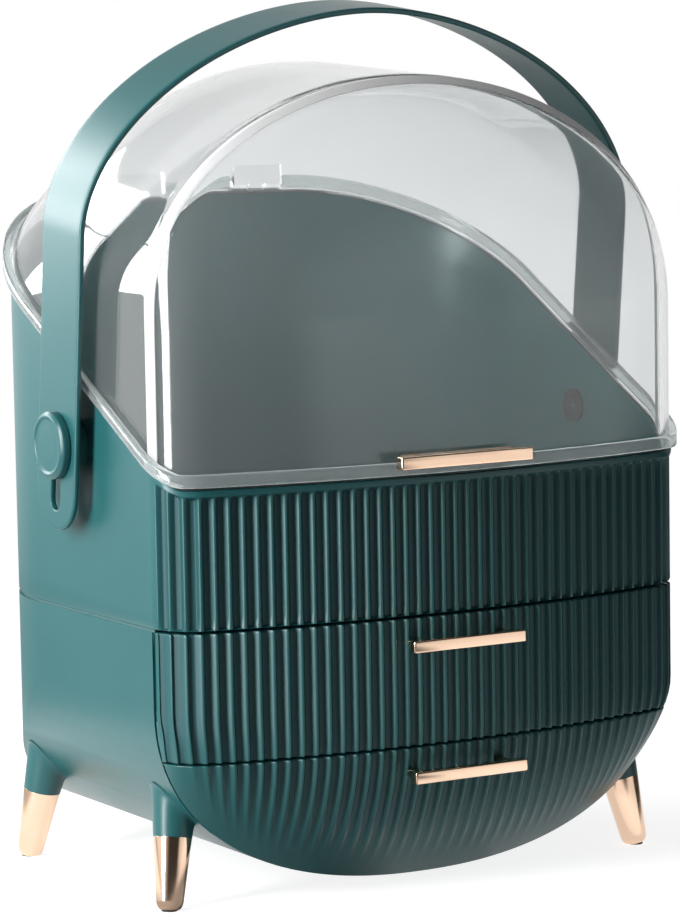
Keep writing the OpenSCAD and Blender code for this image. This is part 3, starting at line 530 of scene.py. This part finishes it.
def trayKnuckle(name, start):
    # a bored knuckle, and the web that joins it to the tray's back wall
    long, r, pin, cut = hinge["width"] - hinge["gap"], hinge["r"], hinge["pin"], hinge["chamfer"]
    profile = [(0, pin), (0, r - cut), (cut, r), (long - cut, r), (long, r - cut), (long, pin), (0, pin)]
    knuckle = turned(profile, (start, hinge["y"], hingeZ), (1, 0, 0), 40)
    web = roundedRect(*hinge["web"], hinge["webRound"], 3)
    web += [hinge["y"] - hinge["webBack"], hingeZ - hinge["web"][1] / 2]
    bar = acrossX((start, start + long), web)
    makePiece(name, [tube(knuckle), tube(bar)], "base", teal, (), ends(bar))


for side, word in sides:
    # one knuckle to each side of the cover's own
    for place in (-1, 1):
        start = side * hinge["x"] + (place - 0.5) * hinge["width"] + hinge["gap"] / 2
        trayKnuckle(f"tray_knuckle_{word}_{'outer' if place == side else 'inner'}", start)
print("tray done")


# Drawer fronts

drawerFront = {"back": -89.5, "least": 0.2, "wall": 4.8, "fan": 4.0, "skinGap": 3.0, "fadeDepth": 3.0}
upperFront = {"low": 77.0, "high": 140.75, "rows": 14}
lowerFront = {"high": 76.0, "rows": 44, "packed": 1.35, "band": 4.5, "fade": 48.0}
# rounded long edges: distances from the edge, and how far back the face lies there
edgeDown = np.array([0.0, 0.12, 0.45, 0.95])
edgeBack = np.array([0.85, 0.4, 0.12, 0.0])


def frontDepth(x, z, inset=0.0):
    # how far the front stands ahead of its edge plane: the bow, falling to nothing at the belly's outline
    scale = case["half"] / (case["half"] - inset)
    k = np.clip((case["bowStart"] - z) / (case["bowStart"] - bellyZ(x, inset)), 0, 1)
    return np.maximum(edgeY - bowY(x * scale) - inset, 0) * (1 - k ** case["bowPower"])


def fannedX(u, z):
    # columns keep their share of the width in the middle and follow the belly's outline at the edge
    narrow = 1 - bellyHalf(z) / case["half"]
    return u * case["half"] * (1 - narrow * np.abs(u) ** drawerFront["fan"])


def closedFront(outer, inner, backY):
    # both skins joined into one ring per column: over the top edge, down outside, back under, up inside
    def toBack(row):
        return row * [1, 0, 1] + [0, backY, 0]
    back = [toBack(row) for row in (outer[0], outer[-1], inner[-1], inner[0])]
    return np.stack([back[0], *outer, back[1], back[2], *inner[::-1], back[3]])


def upperFrontSkins(insideRows=8, plain=1.6):
    # outside and inside skins, and how deep each outside point lies in a groove
    run = frontRun()
    low, high = upperFront["low"], upperFront["high"]
    wall, gap = drawerFront["wall"], drawerFront["skinGap"]
    middle = np.linspace(high - plain, low + plain, upperFront["rows"])
    z = np.concatenate([high - edgeDown, middle, (low + edgeDown)[::-1]])[:, None]
    soft = np.concatenate([edgeBack, 0 * middle, edgeBack[::-1]])[:, None]
    x = fannedX(placeAt(run) / case["half"], z)
    z = z + 0 * x
    depth = frontDepth(x, z)
    dip = fluteDip(run) * np.clip(depth / drawerFront["fadeDepth"], 0, 1)
    outer = np.stack([x, np.minimum(edgeY - depth + dip, edgeY) + soft, z], -1)
    innerHalf = case["half"] - wall
    rows = np.linspace(2, len(z) - 3, insideRows).astype(int)
    xi = np.clip(x[rows] * innerHalf / case["half"], -innerHalf, innerHalf)
    zi = np.linspace(high - gap, low + gap, insideRows)[:, None] + 0 * xi
    yi = np.minimum(edgeY - frontDepth(xi, zi, wall), drawerFront["back"] - drawerFront["least"])
    return outer, np.stack([xi, yi, zi], -1), dip / flute["depth"]


def lowerFrontSkins(insideRows=14):
    # columns fan in downwards and end on the belly's outline; flutes fade out before its plain band
    run = frontRun()
    u = placeAt(run) / case["half"]
    fan, top, wall = drawerFront["fan"], lowerFront["high"], drawerFront["wall"]
    a = np.minimum(np.abs(u), 0.99999)  # the next line has no value at 1
    endZ = bellyZ(case["half"] * a * (1 - a ** fan) / (1 - a ** (fan + 1)))
    t = np.concatenate([[0, 0.002, 0.006, 0.013], np.linspace(0, 1, lowerFront["rows"])[1:]])
    t = (1 - (1 - t) ** lowerFront["packed"])[:, None]
    soft = np.concatenate([edgeBack, np.zeros(len(t) - len(edgeBack))])[:, None]
    z = top + (endZ - top) * t
    x = fannedX(u, z)
    depth = np.where(t > 0.9995, 0, frontDepth(x, z))  # the last row lies on the outline itself
    fade = np.clip((z - bellyZ(x) - lowerFront["band"]) / lowerFront["fade"], 0, 1)
    dip = fluteDip(run) * fade * fade * (3 - 2 * fade)
    outer = np.stack([x, np.minimum(edgeY - depth + dip, edgeY) + soft, z], -1)
    rows = np.linspace(3, len(t) - 1, insideRows).astype(int)
    wallShare = wall / (case["bellyTop"] - case["bellyLow"])
    zi = case["bellyTop"] - (case["bellyTop"] - z[rows]) * (1 - wallShare)
    zi = np.minimum(zi, top - drawerFront["skinGap"])
    yi = np.minimum(edgeY - np.maximum(depth[rows] - wall, 0), drawerFront["back"] - drawerFront["least"])
    return outer, np.stack([x[rows] * (1 - wall / case["half"]), yi, zi], -1), dip / flute["depth"]


def makeFront(name, skins, body, node):
    outer, inner, groove = skins
    ring = closedFront(outer, inner, drawerFront["back"])
    hollow = np.zeros(ring.shape[:2])
    hollow[1:1 + len(groove)] = groove
    makePiece(name, [(ring, True, False)], body, tealFluted, [node], [ring[:, 0], ring[:, -1]], sharp=38,
              hollow=hollow)


makeFront("fluted_upper_front", upperFrontSkins(), "upper_drawer", "upper_drawer_front")
makeFront("fluted_lower_front", lowerFrontSkins(), "lower_drawer", "lower_drawer_front")
print("drawer fronts done")


# Pulls

pull = {"half": 32.5, "height": 6.0, "depth": 5.5, "front": -140.0, "round": 0.9, "upperZ": 128.5,
        "lowerZ": 63.5, "lowerBack": 2.9, "postR": 2.7, "postX": 26.0, "postSink": 1.5, "postRound": 0.3}


def barGrid(half, depth, height, y, z, soft):
    # rounded rectangle carried along X, drawn in a little at both ends
    s = np.array([0, 0.15, 0.5, 1.0]) * soft
    draw = soft - np.sqrt(np.maximum(soft ** 2 - (soft - s) ** 2, 0))
    xs = np.concatenate([-half + s, [0], (half - s)[::-1]])
    shrink = np.concatenate([draw, [0], draw[::-1]])
    base = roundedRect(depth, height, soft, 5)
    size = np.stack([(depth - 2 * shrink) / depth, (height - 2 * shrink) / height], 1)
    return acrossX(xs, base[None] * size[:, None] + [y, z])


def drawerPull(name, z, faceBack, body, node):
    # a bar on two posts that end just inside the drawer's front, which lies faceBack behind the bow there
    y = pull["front"] + pull["depth"] / 2
    bar = barGrid(pull["half"], pull["depth"], pull["height"], y, z, pull["round"])
    long = bowY(pull["postX"]) + faceBack + pull["postSink"] - y
    grids, caps = [tube(bar)], ends(bar)
    for side in (-1, 1):
        profile = rounded([(0, 0.0), (0, pull["postR"]), (long, pull["postR"]), (long, 0)], pull["postRound"])
        post = turned(profile[1:-1], (side * pull["postX"], y, z), (0, 1, 0), 36)
        grids.append(tube(post))
        caps += ends(post)
    makePiece(name, grids, body, gold, [node], caps, sharp=40)


drawerPull("upper_bar_pull", pull["upperZ"], 0.0, "upper_drawer", "upper_drawer_pull")
drawerPull("lower_bar_pull", pull["lowerZ"], pull["lowerBack"], "lower_drawer", "lower_drawer_pull")

coverPull = {"half": 38.0, "height": 6.5, "z": 219.05, "tabHalf": 32.0, "tabTop": 222.0, "tabLow": 218.55,
             "tabThick": 1.6, "tabRound": 0.4, "wallY": -128.05, "lap": 2.0}


def makeCoverPull():
    # a bar, and an L-shaped strip: along the top of the band, then up the cover's wall
    c = coverPull
    y = pull["front"] + pull["depth"] / 2
    bar = barGrid(c["half"], pull["depth"], c["height"], y, c["z"], pull["round"])
    low, top, thick, face, tip = c["tabLow"], c["tabTop"], c["tabThick"], c["wallY"], pull["front"] + c["lap"]
    section = [(tip, low), (face, low), (face, top), (face - thick, top), (face - thick, low + thick),
               (tip, low + thick), (tip, low)]
    strip = acrossX((-c["tabHalf"], c["tabHalf"]), rounded(section, c["tabRound"], 4))
    makePiece("cover_bar_pull", [tube(bar), tube(strip)], "cover", gold, ["cover_pull"],
              ends(bar, strip), sharp=40)


makeCoverPull()
print("pulls done")


# Cover

cover = {"wall": 2.5, "archZ": 299.0, "crown": 412.0, "ridgeSlope": 0.055, "ridgeY": 30.0, "bowStart": 286.0,
         "backPower": 1.5, "backRise": 3.0, "sideLead": 60.0, "gap": 1.5, "blur": 3, "hold": 12.0}


def roofZ(x, y, inset=0.0):
    # height of the roof: a ridge that slopes down to the front, scaled across the width by a semi-ellipse
    share = np.sqrt(np.maximum(1 - (x / (case["half"] - inset)) ** 2, 0))
    ridge = cover["crown"] - inset - cover["ridgeSlope"] * np.maximum(0, cover["ridgeY"] - y)
    return cover["archZ"] + (ridge - cover["archZ"]) * share


def frontCurve(front, k):
    # from the bowed front up to the edge plane as k runs from 0 to 1
    return edgeY - (edgeY - front) * (1 - k ** case["bowPower"])


def coverSkin(inset, columns=85, rows=150):
    # sections across X: front wall, bowed front, sloping ridge, superellipse back, back foot
    c = cover
    half = case["half"] - inset
    x = half * np.sin(np.radians(np.linspace(-90, 90, columns)))[:, None]
    front = np.minimum(edgeY, bowY(np.clip(x * case["half"] / half, -case["half"], case["half"])) + inset)
    turn = c["ridgeY"] - c["sideLead"] * (x / half) ** 2
    frontTop, top, back = roofZ(x, case["rimY"], inset), roofZ(x, turn, inset), backAt(x, inset)
    frontLow, backLow = rimAt(front) + c["gap"], rimAt(back) + c["gap"]
    low = np.minimum(top, rimAt(back) + c["backRise"])
    s, k = np.linspace(0, 1, 24)[None], np.linspace(0, 1, 40)[None]
    ridgeLine = edgeY + (turn - edgeY) * s
    t, q = np.radians(90 * k), 2 / c["backPower"]
    parts = [(front + 0 * s, frontLow + (c["bowStart"] - frontLow) * s),
             (frontCurve(front, k), c["bowStart"] + (frontTop - c["bowStart"]) * k),
             (ridgeLine, roofZ(x, ridgeLine, inset)),
             (turn + (back - turn) * np.sin(t) ** q, low + (top - low) * np.maximum(np.cos(t), 0) ** q),
             (back + 0 * s, low + (backLow - low) * s)]
    yz = np.stack([np.concatenate([p[i] + 0 * x for p in parts], 1) for i in (0, 1)], -1)
    # even steps along each section, then a running mean that rounds the arch edge and leaves both feet alone
    run = runAlong(yz)
    even = np.linspace(0, 1, rows) * run[:, -1:]
    yz = np.stack([[np.interp(even[i], run[i], yz[i, :, j]) for i in range(columns)] for j in (0, 1)], -1)
    reach = c["blur"]
    padded = np.concatenate([yz[:, :1].repeat(reach, 1), yz, yz[:, -1:].repeat(reach, 1)], 1)
    mean = sum(padded[:, i:i + rows] for i in range(2 * reach + 1)) / (2 * reach + 1)
    fromFoot = np.minimum(np.arange(rows), np.arange(rows)[::-1])
    share = np.clip(fromFoot / c["hold"] - 0.5, 0, 1)[None, :, None]
    return acrossX(x, yz * (1 - share) + mean * share)


outside, inside = coverSkin(0.0), coverSkin(cover["wall"])
foot = np.stack([np.concatenate([skin[:, 0], skin[::-1, -1]]) for skin in (outside, inside)])
makePiece("clear_dome", [outside, inside, tube(foot)], "cover", acrylic, ["cover_shell"],
          ends(outside, inside), sharp=40)

band = {"in": 0.1, "out": 4.0, "low": 1.5, "high": 8.0, "round": 1.3, "cutHalf": 15.5}


def bandRun(points, normals, section):
    # the section carried along a line in plan, and lifted with the slanted rim
    plan = points[:, None] + section[None, :, :1] * normals[:, None]
    return np.concatenate([plan, section[None, :, 1:] + rimAt(plan[..., 1:])], -1)


def coverBand():
    # rounded rectangle carried round the outline, open at both hinges, and a short run between them
    loop, normal = planLoop(np.linspace(-fullRun, fullRun, 111), 24, 40)
    section = roundedRect(band["out"] - band["in"], band["high"] - band["low"], band["round"], 5)
    section += [(band["out"] + band["in"]) / 2, (band["high"] + band["low"]) / 2]
    outerCut, innerCut, backY = hinge["x"] + band["cutHalf"], hinge["x"] - band["cutHalf"], case["backY"]
    start = int(np.argmin(np.hypot(loop[:, 0] + outerCut, loop[:, 1] - backY)))
    loop, normal = np.roll(loop, -start, 0), np.roll(normal, -start, 0)
    atHinges = (loop[:, 1] > backY - 0.01) & (np.abs(loop[:, 0]) < outerCut + 0.01)
    outline = np.concatenate([[[-outerCut, backY]], loop[~atHinges], [[outerCut, backY]]])
    out = np.concatenate([[[0, 1]], normal[~atHinges], [[0, 1]]])
    between = np.array([[innerCut, backY], [0, backY], [-innerCut, backY]])
    a, b = bandRun(outline, out, section), bandRun(between, np.tile([0.0, 1.0], (3, 1)), section)
    makePiece("cover_band", [tube(a), tube(b)], "cover", bandAcrylic, ["cover_rim"],
              ends(a, b), sharp=40)


coverBand()

# size and place of the painted highlight strip along the cover's arched edge
glintStrip = {"behind": 3.0, "ahead": 4.8, "inset": 0.45, "thick": 0.8, "steps": 12, "reach": 9.0, "above": 0.3,
        "middle": (0, 40, 250)}


def frontFace(x, z):
    # how far forward the cover's front wall stands at a place in its elevation
    front = np.minimum(edgeY, bowY(np.clip(x, -case["half"], case["half"])))
    rise = np.maximum(roofZ(x, case["rimY"]) - cover["bowStart"], 1)
    return frontCurve(front, np.clip((z - cover["bowStart"]) / rise, 0, 1))


def paintArchGlint():
    # painted highlight: a pale, nearly opaque strip inside the wall stands in for the bright band that the
    # rounded arch edge throws; it follows the arched edge, measured along the wall on both sides of it
    half, archZ = case["half"], cover["archZ"]
    t = np.radians(np.linspace(0, 180, 161))
    archTop = roofZ(0.0, case["rimY"]) - archZ
    arch = np.stack([-half * np.cos(t), archZ + archTop * np.sin(t)], 1)
    up = np.linspace(case["rimZ"] + band["high"] + glintStrip["above"], archZ, 30)[:-1]
    leg = np.stack([np.full_like(up, -half), up], 1)
    line = np.concatenate([leg, arch, leg[::-1] * [-1, 1]])
    # the wall from the arch inwards, and its length from the edge to each step
    depth = np.linspace(0, glintStrip["reach"], 120) ** 2 / glintStrip["reach"]
    flat = line[:, None] - leftOf(line)[:, None] * depth[None, :, None]
    wall = np.stack([flat[..., 0], frontFace(flat[..., 0], flat[..., 1]), flat[..., 1]], -1)
    run = runAlong(wall)
    s = np.linspace(-glintStrip["behind"], glintStrip["ahead"], glintStrip["steps"])
    ahead, behind = np.maximum(s, 0), np.minimum(s, 0)
    at = np.stack([[np.interp(ahead, run[i], wall[i, :, j]) for i in range(len(line))] for j in range(3)], -1)
    at[..., 1] -= behind[None]
    n = np.cross(np.gradient(at, axis=0), np.gradient(at, axis=1))
    n /= np.linalg.norm(n, axis=-1)[..., None]
    n *= np.sign((n * (at - glintStrip["middle"])).sum(-1))[..., None]
    outer, inner = at - n * glintStrip["inset"], at - n * (glintStrip["inset"] + glintStrip["thick"])
    loop = np.concatenate([outer, inner[:, ::-1]], 1)
    makePiece("arch_glint_strip", [tube(loop)], "cover", glintStripAcrylic, (), ends(loop), sharp=60)


paintArchGlint()
print("cover done")


# Handle

handle = {"half": 161.0, "thick": 3.0, "width": 41.5, "reach": 216.0, "arch": 108.0, "power": 1.85,
          "lean": 6.0, "tail": 43.0, "lift": 28.0, "join": 34.0, "edgeRound": 1.3, "edgeShare": 0.3,
          "slotR": 5.0, "slotRound": 0.7, "slotShare": 0.45}


def handlePath():
    # middle line of the strip in its own plane: straight leg, superellipse arch, straight leg
    h = handle
    a, b = h["half"] - h["thick"] / 2, h["arch"] - h["thick"] / 2
    spring = h["reach"] - h["arch"]
    t = np.radians(np.linspace(0, 180, 721))
    q = 2 / h["power"]
    arch = np.stack([-a * np.sign(np.cos(t)) * np.abs(np.cos(t)) ** q, spring + b * np.sin(t) ** q], 1)
    leg = np.stack([np.full(60, -a), np.linspace(-h["tail"], spring, 60)], 1)[:-1]
    line = np.concatenate([leg, arch, (leg * [-1, 1])[::-1]])
    return runAlong(line[None])[0], line, leftOf(line)


handleRun, handleLine, handleNormal = handlePath()


def bendStrip(s, w, rise):
    # a point of the flat strip (distance along, across, above) carried onto the bent and leaning band
    at = [np.interp(s, handleRun, handleLine[:, i]) for i in (0, 1)]
    n = [np.interp(s, handleRun, handleNormal[:, i]) for i in (0, 1)]
    x, u = at[0] + rise * n[0], at[1] + rise * n[1]
    c, sn = np.cos(np.radians(handle["lean"])), np.sin(np.radians(handle["lean"]))
    return np.stack([x, pivot["y"] + w * c - u * sn, pivot["z"] + w * sn + u * c], -1)


def stripRise(s, w):
    # half thickness: full inside, falling along a quarter circle at the outline and at the slot
    h = handle
    r, u = h["width"] / 2, s - h["tail"]
    outlineGap = r - np.hypot(w, np.minimum(s - r, 0))
    slotGap = np.hypot(w, u - np.clip(u, -h["lift"], 0)) - h["slotR"]
    a = 1 - np.clip(outlineGap / h["edgeRound"], 0, 1)
    b = 1 - np.clip(slotGap / h["slotRound"], 0, 1)
    atSlot = h["slotShare"] + (1 - h["slotShare"]) * np.sqrt(1 - b ** 2)
    soft = np.minimum(np.sqrt(1 - a ** 2), atSlot)
    return h["thick"] / 2 * (h["edgeShare"] + (1 - h["edgeShare"]) * soft)


def slottedEnd(w, join):
    # end block of the strip: lines from the slot's outline out to the strip's outline
    h = handle
    r, slotR, tail, lift = h["width"] / 2, h["slotR"], h["tail"], h["lift"]
    turn = np.radians(np.linspace(0, 180, 41))[1:-1]
    topTurn = np.radians(np.linspace(180, 0, len(w)))
    down = np.linspace(join, r, 16)[1:]
    slotDown = tail + np.linspace(0, -lift, len(down) + 1)[1:]

    def outline(top, sides, half, endAt):
        # top, one long side, the round end about endAt, and the other long side
        return np.concatenate([top, np.stack([sides, np.full_like(sides, half)], 1),
                               np.stack([endAt - half * np.sin(turn), half * np.cos(turn)], 1),
                               np.stack([sides[::-1], np.full_like(sides, -half)], 1)])
    slotTop = np.stack([tail + slotR * np.sin(topTurn), slotR * np.cos(topTurn)], 1)
    slot = outline(slotTop, slotDown, slotR, tail - lift)
    strip = outline(np.stack([np.full_like(w, join), w], 1), down, r, r)
    t = np.concatenate([[0, 0.01, 0.03, 0.06], np.linspace(0.12, 0.88, 9), [0.91, 0.95, 0.975, 0.992, 1.0]])
    return slot[None] * (1 - t[:, None, None]) + strip[None] * t[:, None, None]


def makeHandle():
    h = handle
    total, join = handleRun[-1], h["tail"] + h["join"]
    edge = h["width"] / 2 - h["edgeRound"] * (1 - np.cos(np.radians(np.linspace(0, 90, 6))))
    w = np.concatenate([-edge, np.linspace(-edge[-1], edge[-1], 15)[1:-1], edge[::-1]])
    block = slottedEnd(w, join)
    s, ww = np.meshgrid(np.linspace(join, total - join, 180), w, indexing="ij")
    near = np.minimum(s, total - s)
    grids = []
    for face in (1, -1):
        grids.append(bendStrip(s, ww, face * stripRise(near, ww)))
        for flip in (False, True):
            bs, bw = block[..., 0], block[..., 1]
            grids.append(tube(bendStrip(total - bs if flip else bs, bw, face * stripRise(bs, bw))))

    def narrowFace(fromEnd, along, across):
        rise = stripRise(fromEnd, across)
        return np.stack([bendStrip(along, across, rise * k) for k in (1, 0, -1)])
    # along both long edges, round the ends and inside the slots
    for column in (0, -1):
        grids.append(narrowFace(near[:, column], s[:, column], ww[:, column]))
    end = np.concatenate([block[-1][len(w) - 1:], block[-1][:1]])
    for flip in (False, True):
        for line, closed in ((end, False), (block[0], True)):
            along = total - line[:, 0] if flip else line[:, 0]
            grids.append((narrowFace(line[:, 0], along, line[:, 1]), False, closed))
    makePiece("slotted_handle", grids, "handle", teal, ["carry_handle"], sharp=40, weld=0.01)


makeHandle()

knob = {"r": 17.0, "x": 161.3, "thick": 5.2, "bevel": 1.6, "rimR": 15.2, "dishR": 14.0, "dish": 0.7,
        "step": 0.8, "swellR": 8.0, "swell": (0.2, 0.3), "round": 0.7}


def roundKnob(side, word):
    # back face, edge, bevel, flat rim, and a shallow dish that swells again to its middle
    k = knob
    thick, low = k["thick"], k["thick"] - k["dish"]
    profile = [(0, 0), (0, k["r"]), (thick - k["bevel"], k["r"]), (thick, k["rimR"]), (thick, k["dishR"]),
               (low, k["dishR"] - k["step"]), (low + k["swell"][0], k["swellR"]), (low + k["swell"][1], 0)]
    profile = rounded(profile, k["round"], 5)[:-1]
    face = turned(profile, (side * k["x"], pivot["y"], pivot["z"]), (side, 0, 0), 96)
    makePiece(word + "_round_knob", [tube(face)], "pivots", teal, [word + "_knob"], [face[-1]],
              sharp=40)


for side, word in sides:
    roundKnob(side, word)
print("handle done")


# Legs

leg = {"footX": 138.4, "footY": 78.5, "footZ": 0.35, "splay": 12.7, "sleeve": 36.0, "sleeveR": 9.7,
       "sleeveWall": 0.8, "sleeveGap": 0.05, "topR": 12.6, "top": 74.0, "longest": 95.0, "sink": 0.4,
       "fillet": 0.8, "filletRun": 1.6, "padTop": 0.4, "toeRound": 0.9,
       "toe": [(-0.4, 0), (-0.4, 3.6), (0.2, 5.0), (1.5, 6.1), (3.6, 6.8)]}


def legAxis(side, front):
    # leans inwards along the diagonal by the splay
    t = np.radians(leg["splay"])
    lean = np.sin(t) / np.sqrt(2)
    return np.array([-side * lean, -front * lean, np.cos(t)])


def legCone(side, front, steps=64, rows=26):
    # a cone whose lines stop on the belly: the stopping length is found by halving, for all lines at once
    axis = legAxis(side, front)
    foot = np.array([side * leg["footX"], front * leg["footY"], 0.0])
    ring = ringAbout(axis, [0, 1, 0], steps)

    def at(length, extra=0.0):
        share = (length - leg["sleeve"]) / (leg["top"] - leg["sleeve"])
        r = leg["sleeveR"] + (leg["topR"] - leg["sleeveR"]) * share + extra
        return foot + np.expand_dims(length, -1) * axis + np.expand_dims(r, -1) * ring
    low, high = np.full(steps, leg["sleeve"]), np.full(steps, leg["longest"])
    for _ in range(24):
        mid = (low + high) / 2
        p = at(mid)
        below = (p[:, 2] > bellyZ(p[:, 0])) & (np.abs(p[:, 0]) < case["half"])
        low, high = np.where(below, low, mid), np.where(below, mid, high)
    stop = low + leg["sink"]
    length = leg["sleeve"] + (stop - leg["sleeve"])[None] * np.linspace(0, 1, rows)[:, None]
    return at(length, leg["fillet"] * np.exp(-(stop[None] - length) / leg["filletRun"]))  # soft fillet


def makeLeg(where, side, front):
    cone = legCone(side, front)
    makePiece("leg_cone_" + where, [tube(cone)], "base", teal, ["leg_" + where], ends(cone), sharp=50)
    top = leg["sleeve"] - leg["sleeveGap"]
    profile = leg["toe"] + [(top, leg["sleeveR"]), (top, leg["sleeveR"] - leg["sleeveWall"])]
    profile = rounded(profile, leg["toeRound"], 5)[1:]
    foot = (side * leg["footX"], front * leg["footY"], leg["footZ"])
    sleeve = turned(profile, foot, legAxis(side, front), 64)
    sleeve[..., 2] = np.maximum(sleeve[..., 2], leg["padTop"])
    makePiece("gold_sleeve_" + where, [tube(sleeve)], "base", goldTurned, ["sleeve_" + where],
              [sleeve[0]], sharp=45)


for side, across in sides:
    for front, along in ((-1, "front"), (1, "back")):
        makeLeg(along + "_" + across, side, front)
print("legs done")


# Floor, light and camera

# lengths from here on are in metres, but for the camera's lens and sensor
studio = {"floor": 0.42, "floorHalf": 6.0, "mottle": 0.02, "fadeFrom": 0.35, "fadeSlope": 1.1, "glow": 0.84,
          "nearDark": 0.45, "nearSlope": 0.6, "nearEnd": 0.5, "nearGlow": 0.8, "world": 0.14, "dark": 0.04,
          "brightSide": (-0.38, 0.92, 0.0), "brightFrom": 0.35, "brightSlope": 1.2, "overFrom": 1.25,
          "overSlope": 1.3, "darkSide": (-0.71, -0.71, 0.0), "darkEdge": 0.72, "darkSlope": 6.0,
          "cardSide": (0.56, -0.83, 0.0), "cardEdge": 0.90, "cardHigh": 0.8, "cardSlope": 12.0,
          "floorCardSlope": 25.0}


def mirrorLevel(toward):
    # brightness of the room in reflections: falls evenly from the bright side to the dark front
    bright = ((toward + studio["brightFrom"]) * studio["brightSlope"]).clamp()
    return bright * (1 - studio["dark"]) + studio["dark"]


def paleFloor():
    # near the object a pale matt floor that takes its shadow; further out it fades into the white of the room
    g = newMaterial("paleFloor")
    far = g.length(g.where)
    fade = ((far - studio["fadeFrom"]) * studio["fadeSlope"]).clamp()

    def share(side):
        # 1 straight towards the side, -1 straight away from it
        return g.dot(g.where, studio[side]) / (far + 0.01)
    mirror = mirrorLevel(share("brightSide")) * ((far - studio["nearDark"]) * studio["nearSlope"]).clamp()
    card = ((share("cardSide") - studio["cardEdge"]) * studio["floorCardSlope"]).clamp()  # shows in the metal
    wedge = ((share("darkSide") - studio["darkEdge"]) * studio["darkSlope"]).clamp()
    near = ((studio["nearEnd"] - far) * studio["darkSlope"]).clamp() * studio["nearGlow"] * (1 - wedge)
    glossy = g.ray("Is Glossy Ray") * (mirror + card + near).clamp()
    seen = (g.ray("Is Camera Ray") + g.ray("Is Transmission Ray")).clamp()
    glow = seen * (studio["glow"] + fade * (1 - studio["glow"])) + (1 - seen) * glossy
    pale = (1 - fade) * (studio["floor"] + g.noise(3.0) * studio["mottle"])

    def grey(level):
        return g.node("ShaderNodeCombineColor", {}, {0: level, 1: level, 2: level})
    return g.finish(Base_Color=grey(pale), Roughness=0.8, Specular_IOR_Level=0.0, Emission_Color=grey(glow),
                    Emission_Strength=1.0)


floorMesh = bpy.data.meshes.new("floor")
wide = studio["floorHalf"]
floorCorners = [(-wide, -wide, 0), (wide, -wide, 0), (wide, wide, 0), (-wide, wide, 0)]
floorMesh.from_pydata(floorCorners, [], [(0, 1, 2, 3)])
floorMesh.materials.append(paleFloor())
floorObj = addObject("floor", floorMesh)


def makeWorld():
    # seen directly or through the cover the room is white; in reflections it falls off towards the dark front
    world = bpy.data.worlds.new("studio")
    bpy.context.scene.world = world
    w = Graph(world, "Generated")
    toward = w.where
    card = ((w.dot(toward, studio["cardSide"]) - studio["cardEdge"]) * studio["cardSlope"]).clamp()
    ceiling = (studio["overFrom"] - w.dot(toward, (0, 0, 1)) * studio["overSlope"]).clamp()
    mirror = mirrorLevel(w.dot(toward, studio["brightSide"])) * ceiling + card * studio["cardHigh"]
    plain = studio["world"] + w.ray("Is Glossy Ray") * (mirror - studio["world"])
    white = (w.ray("Is Camera Ray") + w.ray("Is Transmission Ray")).clamp()
    back = w.tree.nodes["Background"]
    w.feed(back.inputs["Color"], (1, 1, 1, 1))
    w.feed(back.inputs["Strength"], plain + white * (1 - plain))


makeWorld()

# each lamp: width and height, power, place, and what it points at
lamps = {
    "keyLeft": ((0.35, 1.15), 26.5, (-1.23, -0.20, 0.54), (0, 0, 0.25)),
    "fillRight": ((0.8, 1.2), 0.5, (1.5, -1.3, 0.7), (0, 0, 0.2)),
    "topSoft": ((1.2, 1.2), 1.3, (0.1, -0.1, 1.7), (0, 0, 0.2)),
    "sheenLeft": ((0.55, 0.35), 5.2, (-0.72, 0.92, 0.47), (-0.16, 0, 0.33)),
    "rimBack": ((1.2, 0.35), 12.0, (-0.6, 1.5, 0.98), (0, 0, 0.3)),
}


def turnedTo(right, up, back, at):
    # matrix of a lamp or camera that looks away from back
    m = np.eye(4)
    m[:3, 0], m[:3, 1], m[:3, 2], m[:3, 3] = right, up, back, at
    return Matrix(m.tolist())


def softbox(name, size, power, where, target):
    light = bpy.data.lights.new(name, "AREA")
    light.shape, light.size, light.size_y, light.energy = "RECTANGLE", size[0], size[1], power
    at, to = np.array(where, float), np.array(target, float)
    back = (at - to) / np.linalg.norm(at - to)
    right = np.cross([0, 0, 1], back)
    right /= np.linalg.norm(right)
    addObject(name, light).matrix_world = turnedTo(right, np.cross(back, right), back, at)


for lampName, lamp in lamps.items():
    softbox(lampName, *lamp)

eye = {"at": (-1.03133, -1.78754, 0.44082), "yaw": 30.2017, "pitch": 7.0757, "roll": -0.9797, "lens": 211.765,
       "sensor": 36.0, "shift": (-0.00237, 0.06052), "clip": (0.05, 30.0)}


def makeCamera():
    yaw, pitch, roll = (np.radians(eye[k]) for k in ("yaw", "pitch", "roll"))
    ahead = np.array([np.sin(yaw) * np.cos(pitch), np.cos(yaw) * np.cos(pitch), -np.sin(pitch)])
    right = np.array([np.cos(yaw), -np.sin(yaw), 0.0])
    up = np.cross(right, ahead)
    data = bpy.data.cameras.new("eye")
    data.sensor_fit, data.sensor_width, data.lens = "HORIZONTAL", eye["sensor"], eye["lens"]
    data.shift_x, data.shift_y = eye["shift"]
    data.clip_start, data.clip_end = eye["clip"]
    camera = addObject("eye", data)
    camera.matrix_world = turnedTo(right * np.cos(roll) + up * np.sin(roll),
                                   up * np.cos(roll) - right * np.sin(roll), -ahead, eye["at"])
    bpy.context.scene.camera = camera


makeCamera()
bpy.context.scene.view_settings.view_transform = "Standard"
print("studio done")
